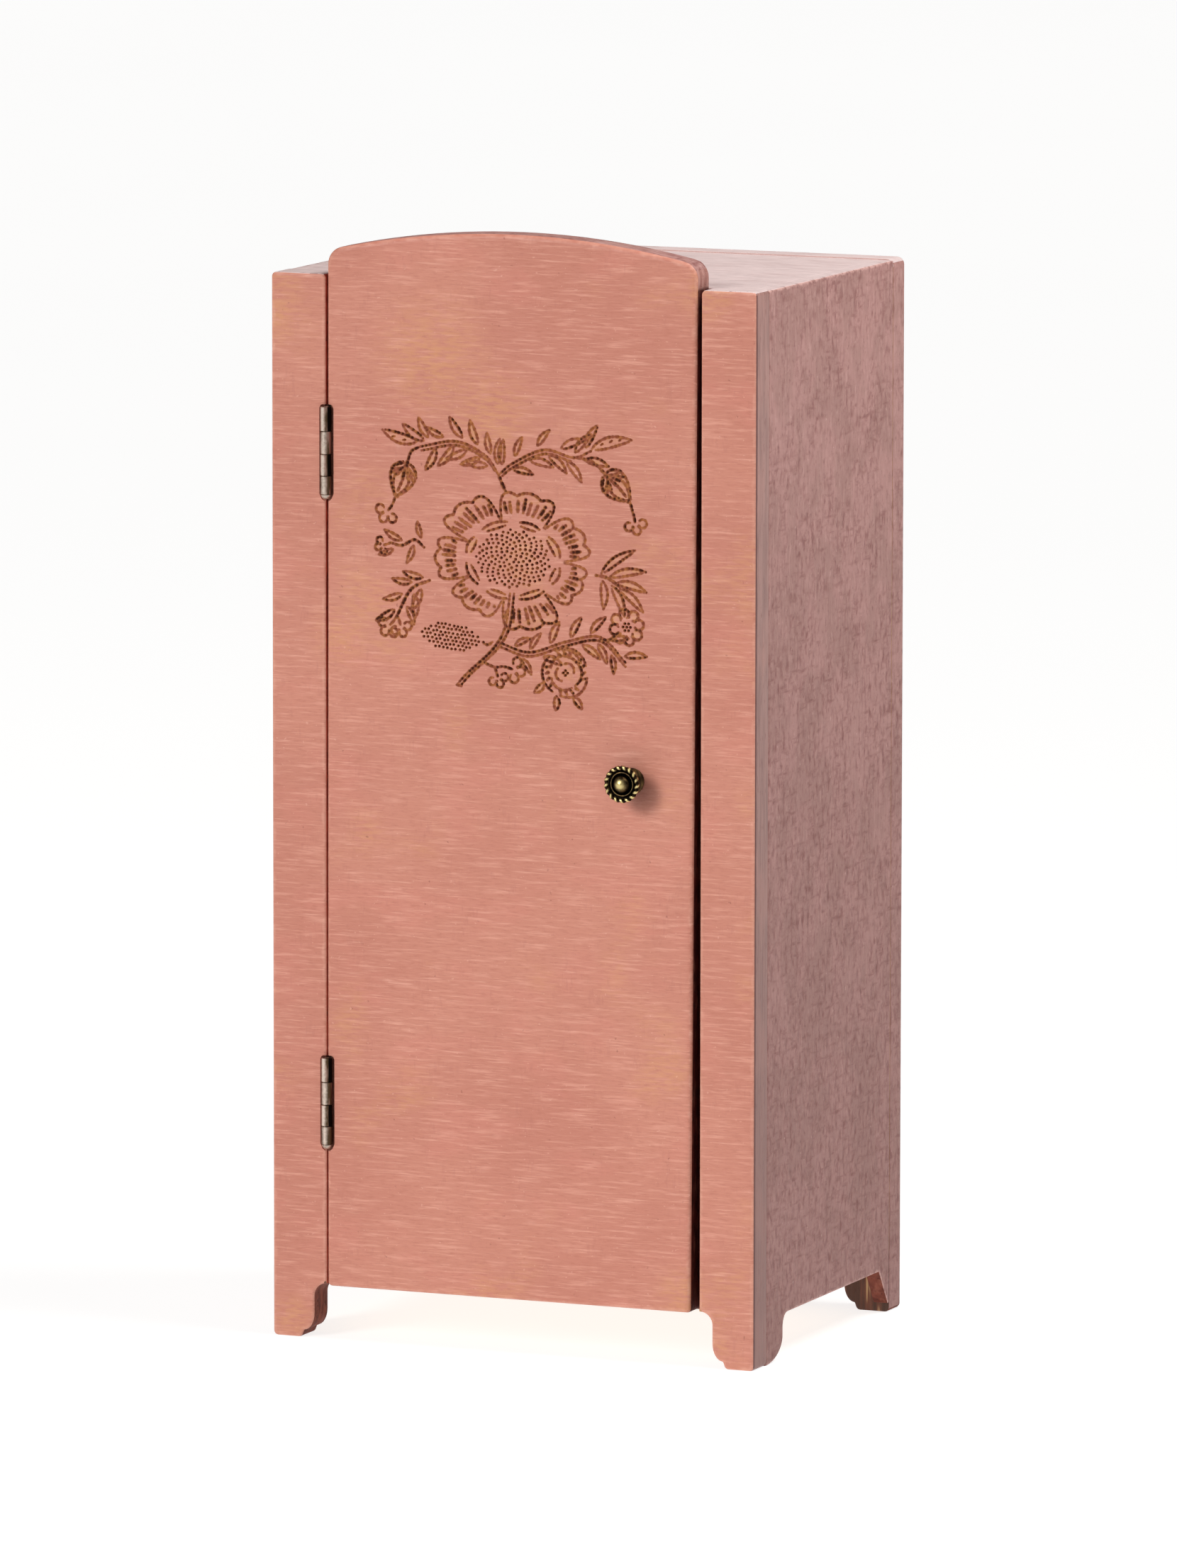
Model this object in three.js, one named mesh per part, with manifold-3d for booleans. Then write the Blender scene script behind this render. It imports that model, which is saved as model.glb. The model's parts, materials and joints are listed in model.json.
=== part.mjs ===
// Miniature wardrobe for a dolls house: a painted wooden box on bracket feet, with one arched door
// hung on two small brass butt hinges.
// Millimetres, +Z up, the door faces -Y and +X is to the right of someone facing it. The origin is
// on the ground, under the middle of the whole object, knob included.
import * as THREE from "three";
import { mergeVertices } from "three/addons/utils/BufferGeometryUtils.js";
import Module from "manifold-3d";

const wasm = await Module();
wasm.setup();

// ---- driving dimensions -------------------------------------------------------------------
const BODY_WIDTH = 100;
const BODY_DEPTH = 76.5; // front of the stiles to the rear of the back panel
const STILE_HEIGHT = 206;
const BOX_HEIGHT = 205.75; // side and top panels end a hair below the stiles
const FRONT_BOARD = 6.5; // stiles and back panel
const SIDE_BOARD = 3;
const SHELF_BOARD = 6; // top and bottom panels
const STILE_WIDTH = 11.25;
const FLOOR_UNDERSIDE = 10;
const BACK_CORNER_RADIUS = 1.5;
const STILE_CORNER_RADIUS = 0.9;

const FOOT_LEG = 8.6; // width of a stile's bracket foot halfway up
const BACK_FOOT_LEG = 9.4; // and of the back panel's
const FOOT_COVE = 2.5; // hollow curve under the board
const FOOT_SHOULDER = 2.2; // how far the round shoulder under the leg comes in
const FOOT_SHOULDER_HEIGHT = 3.4;
const FOOT_STEP = 1.4; // the small step under the shoulder
const FOOT_STEP_LEAN = 0.5; // how far it leans in towards the ground
const SIDE_FOOT_LEG = 8.5; // width of the side panel's foot behind the stile
const SIDE_FOOT_SWEEP = 4.6; // height of the curve that runs from it down to the stile
const FRONT_ARCH_HEIGHT = 10.75; // underside of the board between feet, front and back
const SIDE_ARCH_HEIGHT = 8.75;
const SIDE_REAR_BRACE = 5.25; // how far the side's rear bracket slopes forward at its top
const SIDE_REAR_TOE = 1; // and how high above the ground it ends

const DOOR_THICKNESS = 6.25;
const DOOR_WIDTH = 76;
const DOOR_TAPER = 1; // the free edge leans in this much towards the bottom
const DOOR_BOTTOM = 10.3;
const DOOR_PEAK = 215;
const DOOR_ARCH_RADIUS = 168;
const DOOR_CORNER_RADIUS = 3.5;
const HINGE_GAP = 0.4; // between the left stile and the door

const BARREL_RADIUS = 1.25;
const PIN_RADIUS = 0.5;
const PIN_CLEARANCE = 0.07;
const KNUCKLES = 4;
const HINGE_HEIGHT = 17;
const PIN_DOME = 1; // the domed pin head under the lowest knuckle
const KNUCKLE_GAP = 0.1;
const AXIS_PROUD = 0.1; // the hinge axis stands this far in front of the door's face
const LEAF_THICKNESS = 0.4;
const LEAF_GAP = 0.3; // between the two closed leaves
const LEAF_START = 1.5; // from the axis to the near edge of a leaf
const LEAF_END = 5.4; // and to its far edge
const BARREL_NOTCH_RADIUS = 1.42;
const MORTISE_CLEARANCE = 0.1;
const HINGE_TOPS = { upper: 180.75, lower: 55 };

const NAIL_HEAD_RADIUS = 0.75;
const NAIL_SHANK_RADIUS = 0.38;
const NAIL_LENGTH = 4;
const NAIL_CLEARANCE = 0.07;
const NAIL_SPACING = 9.5; // the two nails of one leaf

const KNOB_REACH = 6.5;
const KNOB_HEIGHT = 112;
const KNOB_X = 24.85;
const KNOB_SOCKET_RADIUS = 0.85;
const KNOB_SOCKET_DEPTH = 3;
const SCREW_RADIUS = 0.75;
const SCREW_HEAD_RADIUS = 1.9;
const SCREW_HEAD_HEIGHT = 0.9;

const RAIL_RADIUS = 1.75;
const RAIL_HEIGHT = 186;
const RAIL_CLEARANCE = 0.1;
const SOCKET_RADIUS = 3.5;
const SOCKET_DEPTH = 3;
const SOCKET_FLOOR = 0.9;

const MAGNET_RADIUS = 2;
const MAGNET_DEPTH = 2;
const PLATE_RADIUS = 2.5;
const PLATE_DEPTH = 0.8;
const INSET_CLEARANCE = 0.05;
const CATCH_X = 29;

// ---- places worked out from them -----------------------------------------------------------
const FRONT_Y = KNOB_REACH - (BODY_DEPTH + KNOB_REACH) / 2;
const BACK_Y = FRONT_Y + BODY_DEPTH;
const BOX_FRONT_Y = FRONT_Y + FRONT_BOARD;
const BOX_BACK_Y = BACK_Y - FRONT_BOARD;
const BOX_DEPTH = BOX_BACK_Y - BOX_FRONT_Y;
const HALF_WIDTH = BODY_WIDTH / 2;
const INNER_HALF_WIDTH = HALF_WIDTH - SIDE_BOARD;
const DOOR_LEFT = STILE_WIDTH + HINGE_GAP - HALF_WIDTH;
const AXIS_X = DOOR_LEFT - HINGE_GAP / 2;
const AXIS_Y = FRONT_Y - AXIS_PROUD;
const DOOR_BACK_Y = FRONT_Y + DOOR_THICKNESS;
const CATCH_HEIGHT = BOX_HEIGHT - SHELF_BOARD / 2;

// ---- materials -----------------------------------------------------------------------------
const paint = (color) => new THREE.MeshStandardMaterial({ color, roughness: 0.62, metalness: 0 });
const metal = (color, roughness) => new THREE.MeshStandardMaterial({ color, roughness, metalness: 1 });
const FRONT_PAINT = 0xd38f7c;
const SIDE_PAINT = 0xa77a72;
const BARE_WOOD = 0xc9a069;
const OLD_BRASS = 0x8a7452;
const STEEL = 0x9a9a98;

// ---- solids --------------------------------------------------------------------------------
function solidOf(geometry) {
  const bare = geometry.clone();
  bare.deleteAttribute("normal");
  bare.deleteAttribute("uv");
  const merged = mergeVertices(bare, 1e-4);
  return new wasm.Manifold(
    new wasm.Mesh({
      numProp: 3,
      vertProperties: new Float32Array(merged.attributes.position.array),
      triVerts: new Uint32Array(merged.index.array),
    }),
  );
}

function geometryOf(solid) {
  const mesh = solid.getMesh();
  const geometry = new THREE.BufferGeometry();
  geometry.setAttribute("position", new THREE.BufferAttribute(mesh.vertProperties, 3));
  geometry.setIndex(new THREE.BufferAttribute(mesh.triVerts, 1));
  geometry.computeVertexNormals();
  return geometry;
}

function cut(geometry, cutters) {
  let solid = solidOf(geometry);
  for (const cutter of cutters) solid = solid.subtract(solidOf(cutter));
  return geometryOf(solid);
}

function join(geometries) {
  let solid = solidOf(geometries[0]);
  for (const geometry of geometries.slice(1)) solid = solid.add(solidOf(geometry));
  return geometryOf(solid);
}

function box(low, high) {
  const size = high.map((value, axis) => value - low[axis]);
  const middle = high.map((value, axis) => (value + low[axis]) / 2);
  return new THREE.BoxGeometry(...size).translate(...middle);
}

const extrude = (points, depth) =>
  new THREE.ExtrudeGeometry(new THREE.Shape(points), { depth, bevelEnabled: false });

// A board seen from the front: its outline holds (x, z) points and it is `depth` thick along +Y.
function frontBoard(points, depth) {
  const stand = new THREE.Matrix4().makeBasis(
    new THREE.Vector3(1, 0, 0),
    new THREE.Vector3(0, 0, 1),
    new THREE.Vector3(0, -1, 0),
  );
  return extrude(points, depth).applyMatrix4(stand).translate(0, depth, 0);
}

// A board seen from the side: its outline holds (y, z) points and it is `depth` thick along +X.
function sideBoard(points, depth) {
  const stand = new THREE.Matrix4().makeBasis(
    new THREE.Vector3(0, 1, 0),
    new THREE.Vector3(0, 0, 1),
    new THREE.Vector3(1, 0, 0),
  );
  return extrude(points, depth).applyMatrix4(stand);
}

// A turned piece whose (radius, distance) profile runs along the given direction.
function turned(profile, direction, segments) {
  const points = profile.map(([radius, along]) => new THREE.Vector2(radius, along));
  const turn = new THREE.Quaternion().setFromUnitVectors(new THREE.Vector3(0, 1, 0), direction);
  return new THREE.LatheGeometry(points, segments).applyQuaternion(turn);
}

const rod = (radius, start, end, direction, segments) =>
  turned([[0, start], [radius, start], [radius, end], [0, end]], direction, segments);

const LEFT = new THREE.Vector3(-1, 0, 0);
const RIGHT = new THREE.Vector3(1, 0, 0);
const FORWARD = new THREE.Vector3(0, -1, 0);
const BACKWARD = new THREE.Vector3(0, 1, 0);
const UP = new THREE.Vector3(0, 0, 1);

const quarter = (x, z, radius, from, to, steps = 8) =>
  new THREE.EllipseCurve(x, z, radius, radius, from, to, to < from).getPoints(steps);
const mirror = (points) => points.map((p) => new THREE.Vector2(-p.x, p.y)).reverse();

// The hollow curve that leads from a board's underside into a foot of the given width.
const cove = (leg, archHeight) =>
  quarter(leg + FOOT_COVE, archHeight - FOOT_COVE, FOOT_COVE, Math.PI / 2, Math.PI);

// The round shoulder under a leg, of the given width and height, down to (toe, bottom).
const shoulder = (toe, bottom, width, height, steps = 8) =>
  new THREE.EllipseCurve(toe, bottom + height, width, height, 0, -Math.PI / 2, true).getPoints(steps);

// Inner edge of a bracket foot whose outer edge is x = 0, from the board's underside to the ground.
function footEdge(leg) {
  const toe = leg - FOOT_SHOULDER;
  return [
    ...cove(leg, FRONT_ARCH_HEIGHT),
    ...shoulder(toe, FOOT_STEP, FOOT_SHOULDER, FOOT_SHOULDER_HEIGHT),
    new THREE.Vector2(toe - FOOT_STEP_LEAN, 0),
  ];
}

// ---- the box -------------------------------------------------------------------------------
// The stile's outline, with its outer edge at x = 0 and its width along +X.
function stileOutline() {
  const r = STILE_CORNER_RADIUS;
  return [
    new THREE.Vector2(STILE_WIDTH, STILE_HEIGHT),
    ...quarter(r, STILE_HEIGHT - r, r, Math.PI / 2, Math.PI, 4),
    ...quarter(r, r, r, Math.PI, Math.PI * 1.5, 4),
    ...footEdge(FOOT_LEG).reverse(),
    new THREE.Vector2(STILE_WIDTH, FRONT_ARCH_HEIGHT),
  ];
}

function leftStile() {
  const board = frontBoard(stileOutline(), FRONT_BOARD).translate(-HALF_WIDTH, FRONT_Y, 0);
  return cut(board, Object.values(HINGE_TOPS).flatMap((top) => hingeSeat(top, LEFT)));
}

function rightStile() {
  return frontBoard(mirror(stileOutline()), FRONT_BOARD).translate(HALF_WIDTH, FRONT_Y, 0);
}

function sideOutline() {
  return [
    new THREE.Vector2(0, BOX_HEIGHT),
    new THREE.Vector2(0, 0),
    ...shoulder(0.2, 0, SIDE_FOOT_LEG - 0.2, SIDE_FOOT_SWEEP, 14).reverse(),
    ...cove(SIDE_FOOT_LEG, SIDE_ARCH_HEIGHT).reverse(),
    new THREE.Vector2(BOX_DEPTH - SIDE_REAR_BRACE, SIDE_ARCH_HEIGHT),
    new THREE.Vector2(BOX_DEPTH, SIDE_REAR_TOE),
    new THREE.Vector2(BOX_DEPTH, BOX_HEIGHT),
  ];
}

const sidePanel = (x) => sideBoard(sideOutline(), SIDE_BOARD).translate(x, BOX_FRONT_Y, 0);

function backOutline() {
  const r = BACK_CORNER_RADIUS;
  const foot = footEdge(BACK_FOOT_LEG).map((p) => new THREE.Vector2(p.x - HALF_WIDTH, p.y));
  const half = [
    ...quarter(r - HALF_WIDTH, STILE_HEIGHT - r, r, Math.PI / 2, Math.PI, 6),
    new THREE.Vector2(-HALF_WIDTH, 0),
    ...foot.reverse(),
  ];
  return [...half, ...mirror(half)];
}

const backPanel = () => frontBoard(backOutline(), FRONT_BOARD).translate(0, BOX_BACK_Y, 0);

const shelf = (bottom) =>
  box(
    [-INNER_HALF_WIDTH, BOX_FRONT_Y, bottom],
    [INNER_HALF_WIDTH, BOX_BACK_Y, bottom + SHELF_BOARD],
  );

function topPanel() {
  const seat = rod(MAGNET_RADIUS + INSET_CLEARANCE, -1, MAGNET_DEPTH + INSET_CLEARANCE, BACKWARD, 32);
  seat.translate(CATCH_X, BOX_FRONT_Y, CATCH_HEIGHT);
  return cut(shelf(BOX_HEIGHT - SHELF_BOARD), [seat]);
}

const magnet = () =>
  rod(MAGNET_RADIUS, 0, MAGNET_DEPTH, BACKWARD, 32).translate(CATCH_X, BOX_FRONT_Y, CATCH_HEIGHT);

// ---- hanging rail --------------------------------------------------------------------------
const RAIL_Y = (BOX_FRONT_Y + BOX_BACK_Y) / 2;

const hangingRail = () => {
  const end = INNER_HALF_WIDTH - SOCKET_FLOOR - RAIL_CLEARANCE;
  return rod(RAIL_RADIUS, -end, end, RIGHT, 24).translate(0, RAIL_Y, RAIL_HEIGHT);
};

function railSocket(inward) {
  const mouth = RAIL_RADIUS + RAIL_CLEARANCE;
  const rim = 0.6;
  const profile = [
    [0, 0],
    [SOCKET_RADIUS, 0],
    [SOCKET_RADIUS, SOCKET_DEPTH - rim],
    [SOCKET_RADIUS - rim, SOCKET_DEPTH],
    [mouth, SOCKET_DEPTH],
    [mouth, SOCKET_FLOOR],
    [0, SOCKET_FLOOR],
  ];
  return turned(profile, inward, 24).translate(-inward.x * INNER_HALF_WIDTH, RAIL_Y, RAIL_HEIGHT);
}

// ---- hinges --------------------------------------------------------------------------------
// What is cut from the stile (outward = LEFT) or the door (outward = RIGHT) to let a hinge in.
function hingeSeat(top, outward) {
  const bottom = top - HINGE_HEIGHT;
  const deep = LEAF_GAP / 2 + LEAF_THICKNESS + MORTISE_CLEARANCE / 2;
  const sides = [AXIS_X, AXIS_X + outward.x * deep].sort((a, b) => a - b);
  const mortise = box(
    [sides[0], AXIS_Y, bottom - MORTISE_CLEARANCE],
    [sides[1], AXIS_Y + LEAF_END + MORTISE_CLEARANCE, top + MORTISE_CLEARANCE],
  );
  const notch = rod(BARREL_NOTCH_RADIUS, bottom - PIN_DOME - MORTISE_CLEARANCE,
    top + MORTISE_CLEARANCE, UP, 32).translate(AXIS_X, AXIS_Y, 0);
  const holes = nailHeights(top).map((z) =>
    rod(NAIL_SHANK_RADIUS + NAIL_CLEARANCE, 0, NAIL_LENGTH + 1, outward, 12)
      .translate(AXIS_X, NAIL_Y, z));
  return [mortise, notch, ...holes];
}

const NAIL_Y = AXIS_Y + (LEAF_START + LEAF_END) / 2;

function nailHeights(top) {
  const middle = top - HINGE_HEIGHT / 2;
  return [middle + NAIL_SPACING / 2, middle - NAIL_SPACING / 2];
}

// A leaf lies `outward` of the axis and carries the knuckles whose numbers it is given, counted
// from the top.
function hingeLeaf(top, outward, ownKnuckles) {
  const bottom = top - HINGE_HEIGHT;
  const near = AXIS_X + (outward.x * LEAF_GAP) / 2;
  const far = near + outward.x * LEAF_THICKNESS;
  const [low, high] = [near, far].sort((a, b) => a - b);
  const pitch = HINGE_HEIGHT / KNUCKLES;
  const wall = (BARREL_RADIUS + PIN_RADIUS) / 2;
  const pieces = [box([low, AXIS_Y + LEAF_START, bottom], [high, AXIS_Y + LEAF_END, top])];
  for (const number of ownKnuckles) {
    const upper = top - number * pitch - (number === 0 ? 0 : KNUCKLE_GAP / 2);
    const lower = top - (number + 1) * pitch + (number === KNUCKLES - 1 ? 0 : KNUCKLE_GAP / 2);
    const bore = PIN_RADIUS + PIN_CLEARANCE;
    const ring = [[bore, lower], [BARREL_RADIUS, lower], [BARREL_RADIUS, upper], [bore, upper], [bore, lower]];
    pieces.push(turned(ring, UP, 32).translate(AXIS_X, AXIS_Y, 0));
    pieces.push(box([low, AXIS_Y + wall, lower], [high, AXIS_Y + LEAF_START + 0.5, upper]));
  }
  const sinks = nailHeights(top).map((z) => {
    const grow = NAIL_CLEARANCE;
    const sink = [[0, -0.1], [NAIL_HEAD_RADIUS + grow, -0.1], [NAIL_HEAD_RADIUS + grow, 0],
      [NAIL_SHANK_RADIUS + grow, LEAF_THICKNESS], [NAIL_SHANK_RADIUS + grow, 1], [0, 1]];
    return turned(sink, outward, 16).translate(near, NAIL_Y, z);
  });
  return cut(join(pieces), sinks);
}

function hingePin(top) {
  const bottom = top - HINGE_HEIGHT;
  const head = BARREL_RADIUS * 0.8;
  const dome = quarter(0, 0, 1, -Math.PI / 2, 0, 6)
    .map((p) => [p.x * head, bottom - KNUCKLE_GAP / 2 + p.y * (PIN_DOME - KNUCKLE_GAP)]);
  const profile = [...dome, [PIN_RADIUS, bottom - KNUCKLE_GAP / 2], [PIN_RADIUS, top], [0, top]];
  return turned(profile, UP, 20).translate(AXIS_X, AXIS_Y, 0);
}

// A countersunk nail driven `outward` through a leaf, its head flush with the leaf.
function hingeNail(z, outward) {
  const near = AXIS_X + (outward.x * LEAF_GAP) / 2;
  const profile = [
    [0, 0],
    [NAIL_HEAD_RADIUS, 0],
    [NAIL_SHANK_RADIUS, LEAF_THICKNESS - NAIL_CLEARANCE],
    [NAIL_SHANK_RADIUS, NAIL_LENGTH - 0.7],
    [0, NAIL_LENGTH],
  ];
  return turned(profile, outward, 12).translate(near, NAIL_Y, z);
}

// ---- door ----------------------------------------------------------------------------------
function doorOutline() {
  const left = DOOR_LEFT;
  const right = DOOR_LEFT + DOOR_WIDTH;
  const centreX = (left + right) / 2;
  const centreZ = DOOR_PEAK - DOOR_ARCH_RADIUS;
  const r = DOOR_CORNER_RADIUS;
  const reach = DOOR_ARCH_RADIUS - r;
  const inset = DOOR_WIDTH / 2 - r;
  const cornerZ = centreZ + Math.sqrt(reach * reach - inset * inset);
  const lean = Math.asin(inset / reach);
  const up = Math.PI / 2;
  return [
    new THREE.Vector2(left, DOOR_BOTTOM),
    new THREE.Vector2(right - DOOR_TAPER, DOOR_BOTTOM),
    ...quarter(right - r, cornerZ, r, 0, up - lean, 8),
    ...quarter(centreX, centreZ, DOOR_ARCH_RADIUS, up - lean, up + lean, 24).slice(1, -1),
    ...quarter(left + r, cornerZ, r, up + lean, Math.PI, 8),
  ];
}

function doorPanel() {
  const board = frontBoard(doorOutline(), DOOR_THICKNESS).translate(0, FRONT_Y, 0);
  const screwHole = rod(SCREW_RADIUS + 0.2, -1, DOOR_THICKNESS + 1, BACKWARD, 20)
    .translate(KNOB_X, FRONT_Y, KNOB_HEIGHT);
  const plateSeat = rod(PLATE_RADIUS + INSET_CLEARANCE, -1, PLATE_DEPTH + INSET_CLEARANCE, FORWARD, 32)
    .translate(CATCH_X, DOOR_BACK_Y, CATCH_HEIGHT);
  const seats = Object.values(HINGE_TOPS).flatMap((top) => hingeSeat(top, RIGHT));
  return cut(board, [screwHole, plateSeat, ...seats]);
}

const catchPlate = () =>
  rod(PLATE_RADIUS, 0, PLATE_DEPTH, FORWARD, 32).translate(CATCH_X, DOOR_BACK_Y, CATCH_HEIGHT);

// A turned knob: flared foot, waist, thick rim, dished face and a round boss in the middle.
function knob() {
  const profile = [
    [0, KNOB_SOCKET_DEPTH],
    [KNOB_SOCKET_RADIUS, KNOB_SOCKET_DEPTH],
    [KNOB_SOCKET_RADIUS, 0],
    [2.5, 0],
    [2.5, 0.4],
    [2.1, 0.8],
    [1.55, 1.5],
    [1.5, 2.4],
    [1.9, 3.2],
    [2.7, 3.8],
    [3.25, 4.1],
    [3.55, 4.5],
    [3.6, 4.85],
    [3.5, 5.25],
    [3.2, 5.5],
    [2.8, 5.4],
    [2.55, 5.1],
    [2.1, 5.05],
    [1.7, 5.3],
    [1.3, 5.95],
    [0.7, 6.37],
    [0, KNOB_REACH],
  ];
  return turned(profile, FORWARD, 32).translate(KNOB_X, FRONT_Y, KNOB_HEIGHT);
}

function knobScrew() {
  const profile = [
    [0, -SCREW_HEAD_HEIGHT],
    [SCREW_HEAD_RADIUS * 0.55, -SCREW_HEAD_HEIGHT * 0.92],
    [SCREW_HEAD_RADIUS * 0.9, -SCREW_HEAD_HEIGHT * 0.55],
    [SCREW_HEAD_RADIUS, 0],
    [SCREW_RADIUS, 0],
    [SCREW_RADIUS, DOOR_THICKNESS + KNOB_SOCKET_DEPTH - 0.4],
    [0, DOOR_THICKNESS + KNOB_SOCKET_DEPTH - 0.2],
  ];
  return turned(profile, FORWARD, 20).translate(KNOB_X, DOOR_BACK_Y, KNOB_HEIGHT);
}

// ---- assembly ------------------------------------------------------------------------------
function place(group, name, geometry, material) {
  const mesh = new THREE.Mesh(geometry, material);
  mesh.name = name;
  group.add(mesh);
}

const wardrobe = new THREE.Group();
const carcass = new THREE.Group();
const door = new THREE.Group();
wardrobe.add(carcass, door);

place(carcass, "side_panel_left", sidePanel(-HALF_WIDTH), paint(SIDE_PAINT));
place(carcass, "side_panel_right", sidePanel(INNER_HALF_WIDTH), paint(SIDE_PAINT));
place(carcass, "top_panel", topPanel(), paint(SIDE_PAINT));
place(carcass, "bottom_panel", shelf(FLOOR_UNDERSIDE), paint(BARE_WOOD));
place(carcass, "back_panel", backPanel(), paint(SIDE_PAINT));
place(carcass, "stile_left", leftStile(), paint(FRONT_PAINT));
place(carcass, "stile_right", rightStile(), paint(FRONT_PAINT));
place(carcass, "hanging_rail", hangingRail(), paint(BARE_WOOD));
place(carcass, "rail_socket_left", railSocket(RIGHT), paint(BARE_WOOD));
place(carcass, "rail_socket_right", railSocket(LEFT), paint(BARE_WOOD));
place(carcass, "door_magnet", magnet(), metal(STEEL, 0.3));

place(door, "door_panel", doorPanel(), paint(FRONT_PAINT));
place(door, "knob", knob(), metal(OLD_BRASS, 0.4));
place(door, "knob_screw", knobScrew(), metal(STEEL, 0.35));
place(door, "catch_plate", catchPlate(), metal(STEEL, 0.35));

for (const [level, top] of Object.entries(HINGE_TOPS)) {
  place(carcass, `${level}_hinge_frame_leaf`, hingeLeaf(top, LEFT, [0, 2]), metal(OLD_BRASS, 0.45));
  place(door, `${level}_hinge_door_leaf`, hingeLeaf(top, RIGHT, [1, 3]), metal(OLD_BRASS, 0.45));
  place(carcass, `${level}_hinge_pin`, hingePin(top), metal(OLD_BRASS, 0.4));
  nailHeights(top).forEach((z, index) => {
    place(carcass, `${level}_frame_nail_${index + 1}`, hingeNail(z, LEFT), metal(OLD_BRASS, 0.5));
    place(door, `${level}_door_nail_${index + 1}`, hingeNail(z, RIGHT), metal(OLD_BRASS, 0.5));
  });
}

export default wardrobe;
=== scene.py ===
"""Looks of a miniature wardrobe: painted boards with softened edges, a door engraved with a floral
spray, antique brass hinges and a rope-edged knob, on a pale studio floor.

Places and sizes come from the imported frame. Lengths are millimetres unless a name says otherwise,
and everything is turned into metres when a mesh is made.
"""

import json
import math
import random

import bmesh
import bpy
import numpy as np
from mathutils import Matrix, Vector, kdtree
from mathutils.geometry import delaunay_2d_cdt


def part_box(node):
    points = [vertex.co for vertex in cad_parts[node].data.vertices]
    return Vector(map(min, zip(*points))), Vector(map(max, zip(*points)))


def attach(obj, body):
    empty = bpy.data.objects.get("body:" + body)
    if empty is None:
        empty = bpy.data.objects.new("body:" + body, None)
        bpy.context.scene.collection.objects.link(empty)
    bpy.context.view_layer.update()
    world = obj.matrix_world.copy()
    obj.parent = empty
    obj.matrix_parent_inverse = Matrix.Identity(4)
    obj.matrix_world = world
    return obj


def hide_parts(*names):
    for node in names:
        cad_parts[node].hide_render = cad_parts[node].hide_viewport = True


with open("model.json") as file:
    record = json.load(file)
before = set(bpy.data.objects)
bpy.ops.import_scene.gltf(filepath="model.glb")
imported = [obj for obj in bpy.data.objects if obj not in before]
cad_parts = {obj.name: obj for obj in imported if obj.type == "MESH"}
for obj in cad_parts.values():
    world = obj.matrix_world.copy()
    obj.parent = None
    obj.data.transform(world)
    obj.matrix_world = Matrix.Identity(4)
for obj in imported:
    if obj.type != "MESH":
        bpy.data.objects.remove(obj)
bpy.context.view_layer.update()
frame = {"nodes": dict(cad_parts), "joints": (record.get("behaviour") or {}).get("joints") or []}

MM = 0.001
SEED = 7

# ---- driving dimensions of what the frame doesn't hold ---------------------------------------
EDGE_ROUND = 0.55        # softened front edges of the stiles
DOOR_ROUND = 1.0         # front edges of the door
SIDE_ROUND = 0.3         # outer edges of the side panels, lower edges of the bottom
BACK_ROUND = 1.1         # rear edges of the back panel
JOINT_ROUND = 0.06       # edges that butt against another board
CORNER_ROUND = 0.9       # corners of a board's outline
SHARP_CORNER = 35        # degrees of turn from which a corner is rounded
CORNER_SHARE = 0.45      # of the stretch on either side, at most, goes into a rounded corner
ARC_STEP = 15            # degrees between two points of a rounded corner
ROUND_STEPS = 5          # rings of faces over a rounded edge
DOOR_REACH = 0.08        # how far the door's hinged edge reaches out at its top
DOOR_SKEW = 0.25         # and how much further at its foot
SKEW_ENDS = 30.0         # height above the door's foot where that is reached
DOOR_WIDER = 0.25        # how far its free edge reaches out
UPRIGHT_BAND = 2.0       # points this close to an upright edge of the door move with it
LONGEST_STRETCH = 12.0   # between two points of a board's outline
RIM_RINGS = (1.2, 2.6)   # extra points this far inside an outline, to carry the edge wear
RIM_PITCH = 3.0          # between two of those points
RIM_LIMIT = 6.0          # how far in from an edge the wear is measured
TOUCH = 1e-3             # points this close to a plane lie in it
INNER_EDGE_FROM = 12.0   # height from which a stile's inner edge has its own paint
FEET_STAIN = 12.0        # height to which paint has run over the bare wood

MOTIF_ABOVE_KNOB = 41.5  # from the knob's middle up to the motif's
PEN_WIDTH = 0.37         # half the width of an engraved line
PEN_DEPTH = 0.5
PEN_ROWS = (-1, -0.5, 0, 0.5, 1)  # rows of points across a line
BEAD_PITCH = 0.95        # the burnt spots along a line
BEAD_SAMPLES = 5         # points along a line between two spots
SEED_RADIUS = 0.35       # pits in the flower's heart
TINT_PITCH = 1.1         # points between the lines, to carry the gilt

KNOB_FACE = 0.775        # how far out the knob's face lies, as a share of its reach
ROPE_STRANDS = 17
ROPE_SHARE = 0.125       # half the rope's thickness, as a share of the knob's radius
ROPE_AHEAD = 0.12        # from the knob's face out to the rope's core


# ---- small helpers ---------------------------------------------------------------------------
def srgb(red, green, blue, alpha=1.0):
    """A colour given as 0-255 screen values, in linear light."""
    def linear(value):
        value /= 255
        return value / 12.92 if value <= 0.04045 else ((value + 0.055) / 1.055) ** 2.4
    return (linear(red), linear(green), linear(blue), alpha)


def box_of(node):
    """A CAD node's lowest and highest corners in millimetres, as arrays."""
    low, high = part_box(node)
    return np.array(low) / MM, np.array(high) / MM


def middle_of(node, axis, level):
    """The middle of a CAD node's box, moved to a level along one axis."""
    low, high = box_of(node)
    middle = (low + high) / 2
    middle[axis] = level
    return middle


def smooth_step(low, high, value):
    t = np.clip((np.asarray(value, float) - low) / (high - low), 0, 1)
    return t * t * (3 - 2 * t)


def other_axes(axis):
    return [i for i in range(3) if i != axis]


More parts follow.
